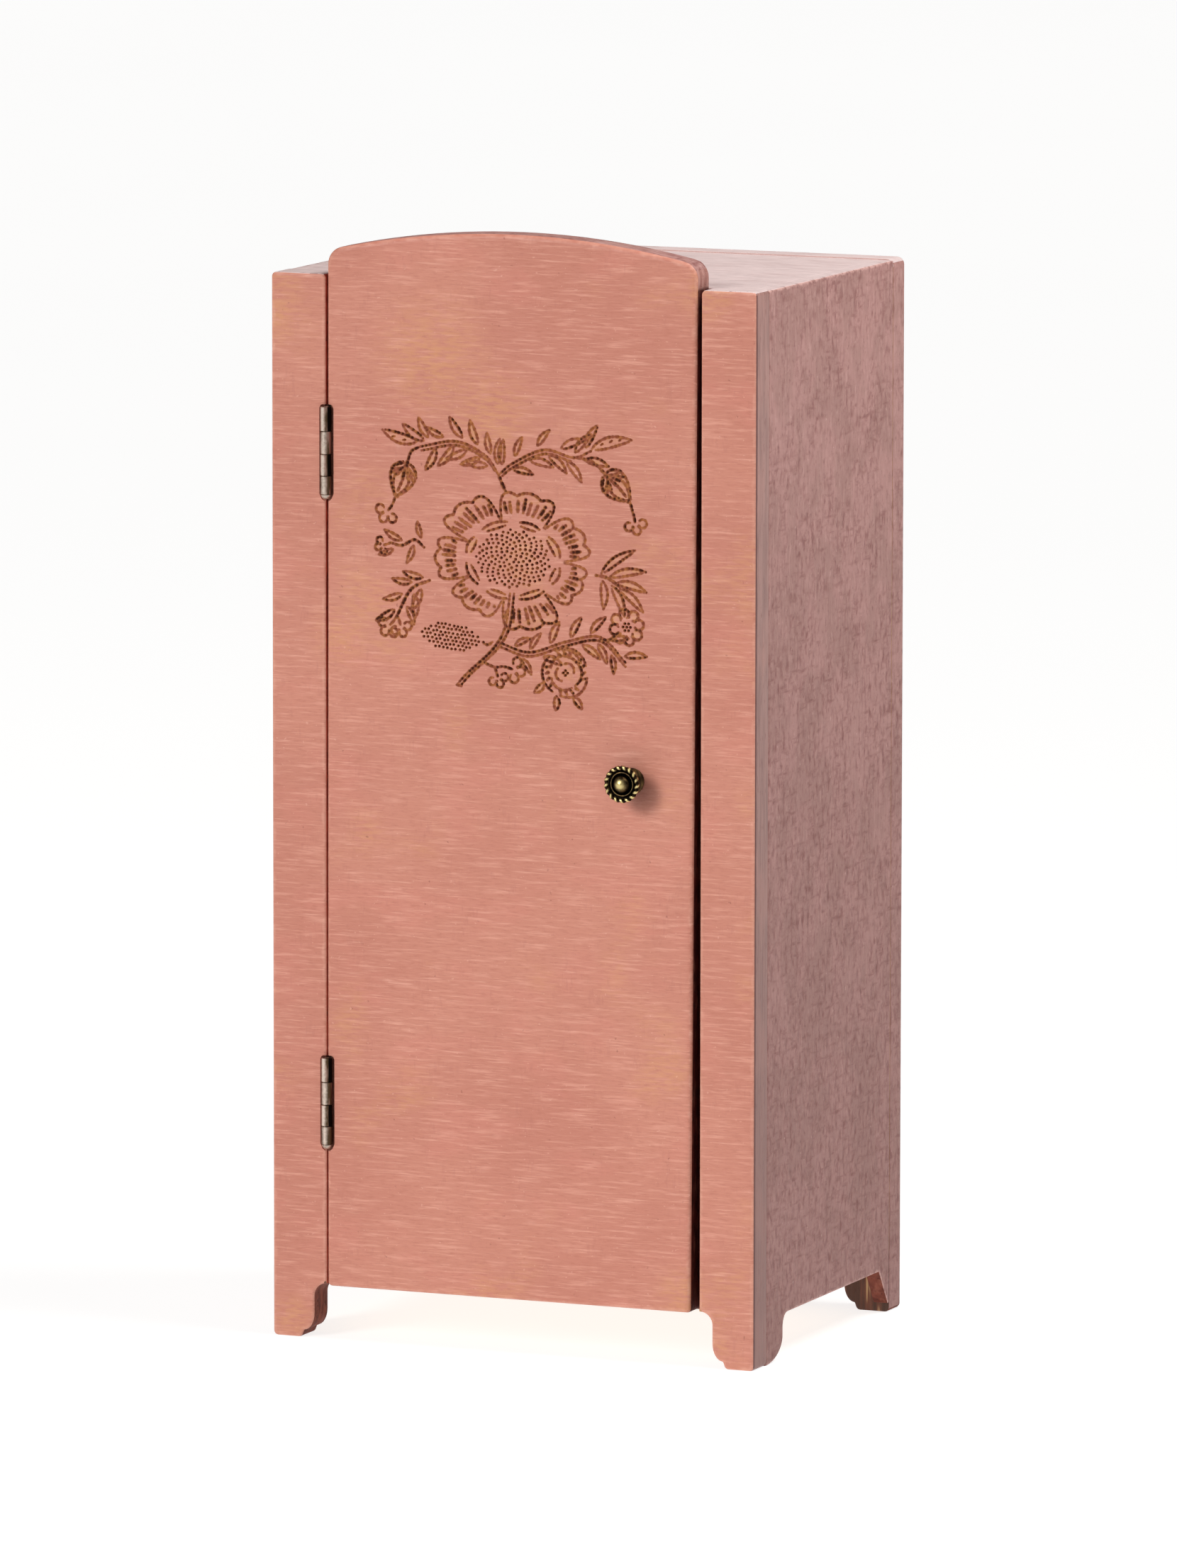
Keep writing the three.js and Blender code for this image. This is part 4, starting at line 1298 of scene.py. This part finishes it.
def make_door():
    low, high = box_of("door_panel")
    plate_low, plate_high = box_of("catch_plate")
    cutters = seat_cutters(1, "door")
    cutters.append(rod((plate_high[0] - plate_low[0]) / 2 + STEEL_CLEARANCE,
                       middle_of("catch_plate", 1, plate_low[1] - STEEL_CLEARANCE),
                       middle_of("catch_plate", 1, plate_high[1] + 1)))
    cutters.append(rod(SCREW_HOLE, middle_of("knob", 1, low[1] - 1),
                       middle_of("knob", 1, high[1] + 1)))
    loop = resampled(filleted(cap_outline("door_panel", 1), CORNER_ROUND), LONGEST_STRETCH)
    reach = DOOR_REACH + DOOR_SKEW * smooth_step(high[2], low[2] + SKEW_ENDS, loop[:, 1])
    loop[:, 0] -= np.where(loop[:, 0] < low[0] + UPRIGHT_BAND, reach, 0)
    loop[:, 0] += np.where(loop[:, 0] > high[0] - UPRIGHT_BAND, DOOR_WIDER, 0)
    mesh = cut_board(solid_board(loop, 1, low[1], high[1], (DOOR_ROUND, EDGE_ROUND)), cutters)
    art = Engraving(((low[0] + high[0]) / 2, middle_of("knob", 1, 0)[2] + MOTIF_ABOVE_KNOB))
    draw_motif(art)
    points, edges = engraved_points(art)
    edge_points = list(rim_points(loop))
    tile_face(mesh, 1, high[1], True, edge_points)
    made = tile_face(mesh, 1, low[1], False, points + edge_points, edges)
    places = np.array([(p.co.x, p.co.z) for p in made]) - art.middle
    deep, burn, gilt = art.heights(places)
    for p, d in zip(made, deep):
        p.co.y += d
    mark_flat(mesh, 1, (low[1], high[1]))
    mesh.verts.index_update()
    layers = {name: np.zeros(len(mesh.verts)) for name in ("burn", "gilt")}
    where = [p.index for p in made]
    layers["burn"][where], layers["gilt"][where] = burn, gilt
    layers["rim"] = rim_layer(mesh, 1, loop, low[1], high[1])
    finished("door_engraved", "door", mesh,
             [FRONT, DOOR_TOP, HINGED_EDGE, FREE_EDGE_SHADED], ["door_panel"], pick_door, layers, sharp=50)


# ---- turned pieces ---------------------------------------------------------------------------
def turned(profile, centre, direction, sides):
    """A bmesh lathed from (radius, along) pairs, along a unit direction from a centre."""
    direction = Vector(direction)
    side = direction.orthogonal().normalized()
    other = direction.cross(side)
    mesh = bmesh.new()
    rings = []
    for radius, along in profile:
        spine = Vector(centre) + direction * along
        if radius == 0:
            rings.append([mesh.verts.new(spine)])
            continue
        rings.append([
            mesh.verts.new(spine + side * radius * math.cos(a) + other * radius * math.sin(a))
            for a in np.linspace(0, math.tau, sides, endpoint=False)
        ])
    skin(mesh, rings)
    bmesh.ops.recalc_face_normals(mesh, faces=mesh.faces)
    return mesh


def softened(profile):
    """A profile with its stretches bent into a smooth curve."""
    path = curve(*profile, steps=4)
    path[:, 0] = np.maximum(path[:, 0], 0)
    return [tuple(p) for p in path]


def make_knob():
    low, high = box_of("knob")
    radius = (high[0] - low[0]) / 2
    reach = high[1] - low[1]
    centre = middle_of("knob", 1, high[1])
    rope = ROPE_SHARE * radius
    rim = radius - rope
    front = reach * KNOB_FACE
    bore, depth, foot = 0.85, 2.9, 2.35
    socket = [(0, depth), (bore, depth), (bore, 0.0), (foot, 0.0)]
    neck = softened([(2.5, 0.08), (2.5, 0.35), (2.1, 0.75), (1.55, 1.4), (1.42, 2.2), (1.7, 3.1),
                     (2.5, 3.75), (3.05, 4.1), (3.2, 4.5)])
    face = softened([(3.12, front), (2.75, front - 0.22), (2.5, front - 0.3), (2.42, front + 0.04),
                     (2.22, front + 0.16), (2.05, front + 0.02), (1.95, front - 0.4),
                     (1.75, front - 0.5)])
    dome = softened([(1.68, front - 0.35), (1.6, front + 0.3), (1.3, front + 0.85),
                     (0.75, front + 1.25), (0, reach)])
    mesh = turned(socket + neck + face + dome, centre, (0, -1, 0), 96)
    add_rope(mesh, centre, rim, front, rope)
    bmesh.ops.recalc_face_normals(mesh, faces=mesh.faces)
    finished("knob_rope_edged", "door", mesh, [BRASS], ["knob"],
             layers={"shine": knob_painted_light(mesh, centre, rim, front, rope)}, sharp=60)


def add_rope(mesh, centre, rim, front, rope):
    """The twisted rope round the knob's face, which lies that far in front of the centre."""
    around, across = ROPE_STRANDS * 14, 20  # faces round the knob, and round the rope
    grid = []
    for i in range(around):
        a = math.tau * i / around
        row = []
        for j in range(across):
            b = math.tau * j / across
            twist = math.cos(0.5 * (ROPE_STRANDS * a + b)) ** 2
            thick = rope * (0.62 + 0.38 * (1 - (1 - twist) ** 2.2))
            out = rim + thick * math.cos(b)
            row.append(mesh.verts.new((centre[0] + out * math.cos(a),
                                       centre[1] - front - ROPE_AHEAD - thick * math.sin(b),
                                       centre[2] + out * math.sin(a))))
        grid.append(row)
    skin(mesh, [*grid, grid[0]])


def knob_painted_light(mesh, centre, rim, front, rope):
    """Painted light on the knob: painted shade over dark patina in the hollows, a painted highlight
    on the middle of the dome, and brighter metal, worn and painted highlight, on the ring round it
    and the strands' crests.
    """
    co = np.array([tuple(p.co) for p in mesh.verts]) - centre
    away = np.hypot(co[:, 0], co[:, 2])
    forward = -co[:, 1]
    angle = np.arctan2(co[:, 2], co[:, 0])
    tube = np.arctan2(forward - front - ROPE_AHEAD, away - rim)
    crest = np.cos(0.5 * (ROPE_STRANDS * angle + tube)) ** 2
    from_core = np.hypot(away - rim, forward - front - ROPE_AHEAD)
    on_rope = smooth_step(rope * 1.15, rope, from_core)
    face = forward > front - 0.6
    dome = face * smooth_step(1.72, 1.45, away)
    ring = face * np.exp(-((away - 2.22) / 0.13) ** 2)
    hollow = face * (away < 3.0) * (1 - dome) * (1 - ring)
    # painted highlight on the middle of the dome
    dome_highlight = dome * np.exp(-(away / 0.95) ** 2)
    shine = 0.2 - 0.7 * hollow + 0.75 * dome_highlight + 0.25 * ring
    return shine * (1 - on_rope) + on_rope * (-0.25 + 1.35 * crest ** 1.6)


# ---- hinges ----------------------------------------------------------------------------------
def knuckle_outline(barrel, plate_end, side):
    """Section of a rolled leaf: a barrel with its seam, running into the flat plate behind it."""
    outer_start = math.asin(PLATE_FAR / barrel)
    turns = np.linspace(math.pi / 2 - outer_start, -1.5 * math.pi + SEAM_GAP, KNUCKLE_POINTS)
    outer = [(barrel * math.cos(a), barrel * math.sin(a)) for a in turns]
    inner = [(KNUCKLE_BORE * math.cos(a), KNUCKLE_BORE * math.sin(a)) for a in turns[::-1]]
    inner = [p for p in inner if not (p[1] > 0 and 0 < p[0] < PLATE_NEAR)]
    seam = [(PLATE_NEAR, math.sqrt(barrel ** 2 - PLATE_NEAR ** 2) * 0.55)]
    plate = [(PLATE_NEAR, plate_end), (PLATE_FAR, plate_end)]
    return [(side * x, y) for x, y in outer + inner + seam + plate]


def hinge_painted_light(mesh, barrel, owned):
    """Painted light over a rolled leaf: a painted highlight down the front of the barrel, painted
    shade towards the door.

    The leaf that owns the topmost knuckle has a brighter highlight strip, and painted shade that goes
    deeper.
    """
    centre, spread, strength, shade_depth = (-0.4, 0.6, 0.62, 0.6) if 0 in owned else (-0.1, 0.7, 0.5, 0.2)
    made = []
    for p in mesh.verts:
        x, y = p.co.x - AXIS_X, p.co.y - AXIS_Y
        facing = y < 0 and math.hypot(x, y) > 0.9 * barrel
        # painted highlight strip down the barrel, painted shade towards the door
        strip = strength * math.exp(-((x - centre) / spread) ** 2)
        made.append(0.22 + facing * (strip - shade_depth * smooth_step(0.45 * barrel, 0.75 * barrel, x)))
    return made


def rolled_leaf(outline, barrel, ends, owned):
    """The knuckles that a leaf owns, each with its strip of plate; ends run down the hinge."""
    mesh = bmesh.new()
    for number in owned:
        upper, lower = ends[number] - KNUCKLE_GAP, ends[number + 1] + KNUCKLE_GAP
        rings = []
        for level, shrink in ((lower, KNUCKLE_SOFT), (lower + KNUCKLE_SOFT, 0),
                              (upper - KNUCKLE_SOFT, 0), (upper, KNUCKLE_SOFT)):
            rings.append([])
            for x, y in outline:
                k = 1 - shrink / barrel if math.hypot(x, y) > 0.9 * barrel else 1
                rings[-1].append(mesh.verts.new((AXIS_X + x * k, AXIS_Y + y * k, level)))
        skin(mesh, rings)
        mesh.faces.new(rings[0][::-1])
        mesh.faces.new(rings[-1])
    bmesh.ops.recalc_face_normals(mesh, faces=mesh.faces)
    bmesh.ops.triangulate(mesh, faces=[f for f in mesh.faces if len(f.verts) > 4])
    return mesh


def make_hinges():
    for hinge in HINGES:
        frame_low, frame_high = box_of(f"{hinge}_hinge_frame_leaf")
        door_low, door_high = box_of(f"{hinge}_hinge_door_leaf")
        top, bottom = frame_high[2], door_low[2]
        ends = [top - (top - bottom) * part for part in KNUCKLE_ENDS]
        barrel = BARREL_FIT * (AXIS_Y - frame_low[1])
        for kind, side, body, owned, far in (("frame", -1, "carcass", (0, 2), frame_high[1]),
                                             ("door", 1, "door", (1, 3), door_high[1])):
            outline = knuckle_outline(barrel, far - AXIS_Y, side)
            mesh = rolled_leaf(outline, barrel, ends, owned)
            xs = sorted((AXIS_X + side * PLATE_NEAR, AXIS_X + side * PLATE_FAR))
            join(mesh, block((xs[0], AXIS_Y + 1.5, bottom), (xs[1], far - 0.02, top)))
            name = f"{hinge}_hinge_{kind}_leaf"
            finished(name + "_rolled", body, mesh, [BRONZE], [name],
                     layers={"shine": hinge_painted_light(mesh, barrel, owned)})
        make_pin(hinge)


def join(whole, mesh):
    """Adds one bmesh to another."""
    data = bpy.data.meshes.new("part")
    mesh.to_mesh(data)
    mesh.free()
    whole.from_mesh(data)
    bpy.data.meshes.remove(data)


def make_pin(hinge):
    low, high = box_of(f"{hinge}_hinge_pin")
    radius = (high[0] - low[0]) / 2
    leaf_low = box_of(f"{hinge}_hinge_door_leaf")[0][2]
    dome = leaf_low - 0.05 - low[2]
    tip = [(radius * math.sin(a), low[2] + dome * (1 - math.cos(a)))
           for a in np.linspace(0, math.pi / 2, 9)]
    profile = [*tip, (radius * 0.98, leaf_low - 0.03), (PIN_RADIUS, leaf_low - 0.01),
               (PIN_RADIUS, high[2] - 0.12), (0.44, high[2] - 0.04), (0.2, high[2]), (0, high[2])]
    mesh = turned(profile, (AXIS_X, AXIS_Y, 0), (0, 0, 1), 40)
    # painted highlight on the domed tip of the pin
    shine = [0.6 if p.co.z < leaf_low else 0.3 for p in mesh.verts]
    finished(f"{hinge}_hinge_pin_domed", "carcass", mesh, [BRONZE],
             [f"{hinge}_hinge_pin"], layers={"shine": shine})


def make_nails():
    for hinge in HINGES:
        for kind, side, body in (("frame", -1, "carcass"), ("door", 1, "door")):
            for number in (1, 2):
                name = f"{hinge}_{kind}_nail_{number}"
                low, high = box_of(name)
                head = low[0] if side > 0 else high[0]
                length, radius = high[0] - low[0], (high[1] - low[1]) / 2
                shank = 0.5 * radius
                profile = [(0, 0.06), (radius * 0.35, 0.05), (radius * 0.75, 0.02),
                           (radius * 0.97, 0.0), (radius, 0.04), (shank, 0.36),
                           (shank, length - 0.7), (shank * 0.4, length - 0.2), (0, length)]
                mesh = turned(profile, middle_of(name, 0, head), (side, 0, 0), 24)
                shine = [0.75 if abs(p.co.x - head) < 0.05 else 0.3 for p in mesh.verts]
                finished(name + "_headed", body, mesh, [BRONZE], [name],
                         layers={"shine": shine})


# ---- catch, screw and rail -------------------------------------------------------------------
def make_catch():
    for name, body, face_back, label in (("door_magnet", "carcass", False, "disc"),
                                         ("catch_plate", "door", True, "dimpled")):
        low, high = box_of(name)
        radius, depth = (high[0] - low[0]) / 2, high[1] - low[1]
        soft = 0.12
        profile = [(0, 0.0), (radius - soft, 0.0), (radius - 0.3 * soft, 0.3 * soft),
                   (radius, soft), (radius, depth - soft), (radius - 0.3 * soft, depth - 0.3 * soft),
                   (radius - soft, depth), (0.35 * radius, depth), (0.2 * radius, depth - 0.15),
                   (0, depth - 0.2)]
        if not face_back:
            profile = [(r, depth - t) for r, t in profile[::-1]]
        mesh = turned(profile, middle_of(name, 1, low[1]), (0, 1, 0), 48)
        finished(f"{name}_{label}", body, mesh, [STEEL], [name], sharp=50)


def make_screw():
    """A round-headed screw with a cross slot, driven through the door into the knob."""
    low, high = box_of("knob_screw")
    radius = (high[0] - low[0]) / 2
    centre = middle_of("knob_screw", 1, high[1])
    head = high[1] - box_of("door_panel")[1][1]
    length = high[1] - low[1]
    crown = [(radius * math.sin(a), head * (1 - math.cos(a)))
             for a in np.linspace(0, math.pi / 2, 10)]
    core, crest, pitch = 0.62, 0.75, 0.5
    thread = []
    for k in range(int((length - head - 0.4) / pitch)):
        start = head + 0.1 + k * pitch
        thread += [(core, start), (crest, start + pitch / 2)]
    profile = [*crown, (radius * 0.97, head + 0.02), (core, head + 0.06), *thread,
               (0.3, length - 0.1), (0, length)]
    mesh = turned(profile, centre, (0, -1, 0), 40)
    reach, half, deep = 0.95, 0.17, 0.5
    slots = [block((-reach, -deep, -half), (reach, deep, half)),
             block((-half, -deep, -reach), (half, deep, reach))]
    for slot in slots:
        bmesh.ops.translate(slot, verts=slot.verts, vec=centre)
    mesh = cut_board(mesh, slots)
    finished("knob_screw_cross_slot", "door", mesh, [STEEL], ["knob_screw"], sharp=40)


def make_rail():
    low, high = box_of("hanging_rail")
    radius, length = (high[2] - low[2]) / 2, high[0] - low[0]
    steps = 60
    shaft = [(radius * (0.988 + 0.012 * math.sin(0.9 * k) * math.sin(0.23 * k)),
              0.3 + (length - 0.6) * k / steps) for k in range(steps + 1)]
    profile = [(0, 0), (radius - 0.3, 0), *shaft, (radius - 0.3, length), (0, length)]
    mesh = turned(profile, middle_of("hanging_rail", 0, low[0]), (1, 0, 0), 48)
    finished("hanging_rail_dowel", "carcass", mesh, [WOOD_ACROSS],
             ["hanging_rail"], sharp=40)
    for name, way in (("rail_socket_left", 1), ("rail_socket_right", -1)):
        low, high = box_of(name)
        wall = low[0] if way > 0 else high[0]
        outer, depth = (high[2] - low[2]) / 2, high[0] - low[0]
        mouth, lip, seat = radius + 0.1, 0.7, 0.9
        profile = [(0, 0), (outer - 0.1, 0), (outer, 0.12), (outer, depth - 0.75)]
        profile += [(outer - lip + lip * math.cos(a), depth - lip + lip * math.sin(a))
                    for a in np.linspace(0.1, math.pi / 2, 6)]
        profile += [(mouth + 0.12, depth), (mouth, depth - 0.12), (mouth, seat), (0, seat)]
        mesh = turned(profile, middle_of(name, 0, wall), (way, 0, 0), 48)
        finished(name + "_turned", "carcass", mesh, [WOOD_UP], [name], sharp=40)


# ---- studio ----------------------------------------------------------------------------------
CAMERA_AZIMUTH = 22.886
CAMERA_ELEVATION = 7.911
CAMERA_ROLL = 0.07
CAMERA_DISTANCE = 2547.0
CAMERA_AIM = (-0.24, -0.11, 105.16)  # from the foot of the body's middle
LENS = 302.9                         # on a sensor 36 mm high
SENSOR = 36.0

KEY_FROM_LEFT = 25       # degrees left of the door's own direction
KEY_HEIGHT = 26          # degrees above level
KEY_STRENGTH = 1.6
KEY_SPREAD = 22          # degrees across, for soft shadows
KEY_COLOUR = (1.0, 0.985, 0.96)
SKY_DARK, SKY_BRIGHT = 0.05, 0.3  # the studio away from the key, and towards it
SKY_TURN = (-0.3, 0.9)   # cosines of the angle from the key between which it brightens
FILL_POWER = 2.2         # watts, from above the right side
FILL_FROM_RIGHT = 100    # degrees right of the door's own direction
FILL_HEIGHT = 55         # degrees above level
FILL_DISTANCE = 0.42     # metres
FILL_SIZE = 0.3          # metres
FLOOR_SIZE = 30.0        # metres
FLOOR_GLOW = 0.81


def make_floor():
    s = Shader("studio_floor")
    cloud = s.noise((0.002, 0.002, 0.002), detail=2)
    s.colour = s.mix(s.step(cloud, 0.3, 0.7, 0, 0.5), srgb(170, 169, 167), srgb(164, 163, 161))
    material = s.finish(0.85, Emission_Color=(1, 1, 1, 1), Emission_Strength=FLOOR_GLOW)
    data = bpy.data.meshes.new("studio_floor")
    half = FLOOR_SIZE / 2
    corners = [(-half, -half, 0), (half, -half, 0), (half, half, 0), (-half, half, 0)]
    data.from_pydata(corners, [], [(0, 1, 2, 3)])
    data.materials.append(material)
    placed("studio_floor", data)


def direction(azimuth, elevation):
    """Unit vector towards an azimuth right of the door's own direction, and an elevation."""
    a, e = math.radians(azimuth), math.radians(elevation)
    return Vector((math.sin(a) * math.cos(e), -math.cos(a) * math.cos(e), math.sin(e)))


def make_lights():
    sun = bpy.data.lights.new("key", "SUN")
    sun.energy = KEY_STRENGTH
    sun.angle = math.radians(KEY_SPREAD)
    sun.color = KEY_COLOUR
    key = placed("key", sun)
    key.rotation_euler = direction(-KEY_FROM_LEFT, KEY_HEIGHT).to_track_quat("Z", "Y").to_euler()
    soft = bpy.data.lights.new("fill", "AREA")
    soft.energy = FILL_POWER
    soft.size = FILL_SIZE
    fill = placed("fill", soft)
    away = direction(FILL_FROM_RIGHT, FILL_HEIGHT)
    top = Vector((0, 0, box_of("door_panel")[1][2] * MM))
    fill.location = top + away * FILL_DISTANCE
    fill.rotation_euler = away.to_track_quat("Z", "Y").to_euler()
    world = bpy.data.worlds.new("studio")
    bpy.context.scene.world = world
    world.use_nodes = True
    nodes, links = world.node_tree.nodes, world.node_tree.links
    heading = nodes.new("ShaderNodeTexCoord").outputs["Generated"]
    towards = nodes.new("ShaderNodeVectorMath")
    towards.operation = "DOT_PRODUCT"
    links.new(heading, towards.inputs[0])
    towards.inputs[1].default_value = direction(-KEY_FROM_LEFT, KEY_HEIGHT)
    glow = nodes.new("ShaderNodeMapRange")
    glow.interpolation_type = "SMOOTHSTEP"
    links.new(towards.outputs["Value"], glow.inputs["Value"])
    for socket, value in (("From Min", SKY_TURN[0]), ("From Max", SKY_TURN[1]),
                          ("To Min", SKY_DARK), ("To Max", SKY_BRIGHT)):
        glow.inputs[socket].default_value = value
    links.new(glow.outputs["Result"], nodes["Background"].inputs["Strength"])
    nodes["Background"].inputs["Color"].default_value = (1, 1, 1, 1)
    bpy.context.scene.view_settings.view_transform = "Standard"


def make_camera():
    data = bpy.data.cameras.new("camera")
    data.sensor_fit = "VERTICAL"
    data.sensor_height = SENSOR
    data.lens = LENS
    data.clip_end = 100
    camera = placed("camera", data)
    foot = Vector((0, (FACE_Y + box_of("back_panel")[1][1]) / 2, 0))
    aim = (foot + Vector(CAMERA_AIM)) * MM
    away = direction(CAMERA_AZIMUTH, CAMERA_ELEVATION)
    camera.location = aim + away * CAMERA_DISTANCE * MM
    turn = away.to_track_quat("Z", "Y").to_matrix()
    roll = math.radians(CAMERA_ROLL)
    camera.rotation_euler = (turn @ Matrix.Rotation(roll, 3, "Z")).to_euler()
    bpy.context.scene.camera = camera


make_carcass()
make_door()
make_knob()
make_hinges()
make_nails()
make_catch()
make_screw()
make_rail()
make_floor()
make_lights()
make_camera()
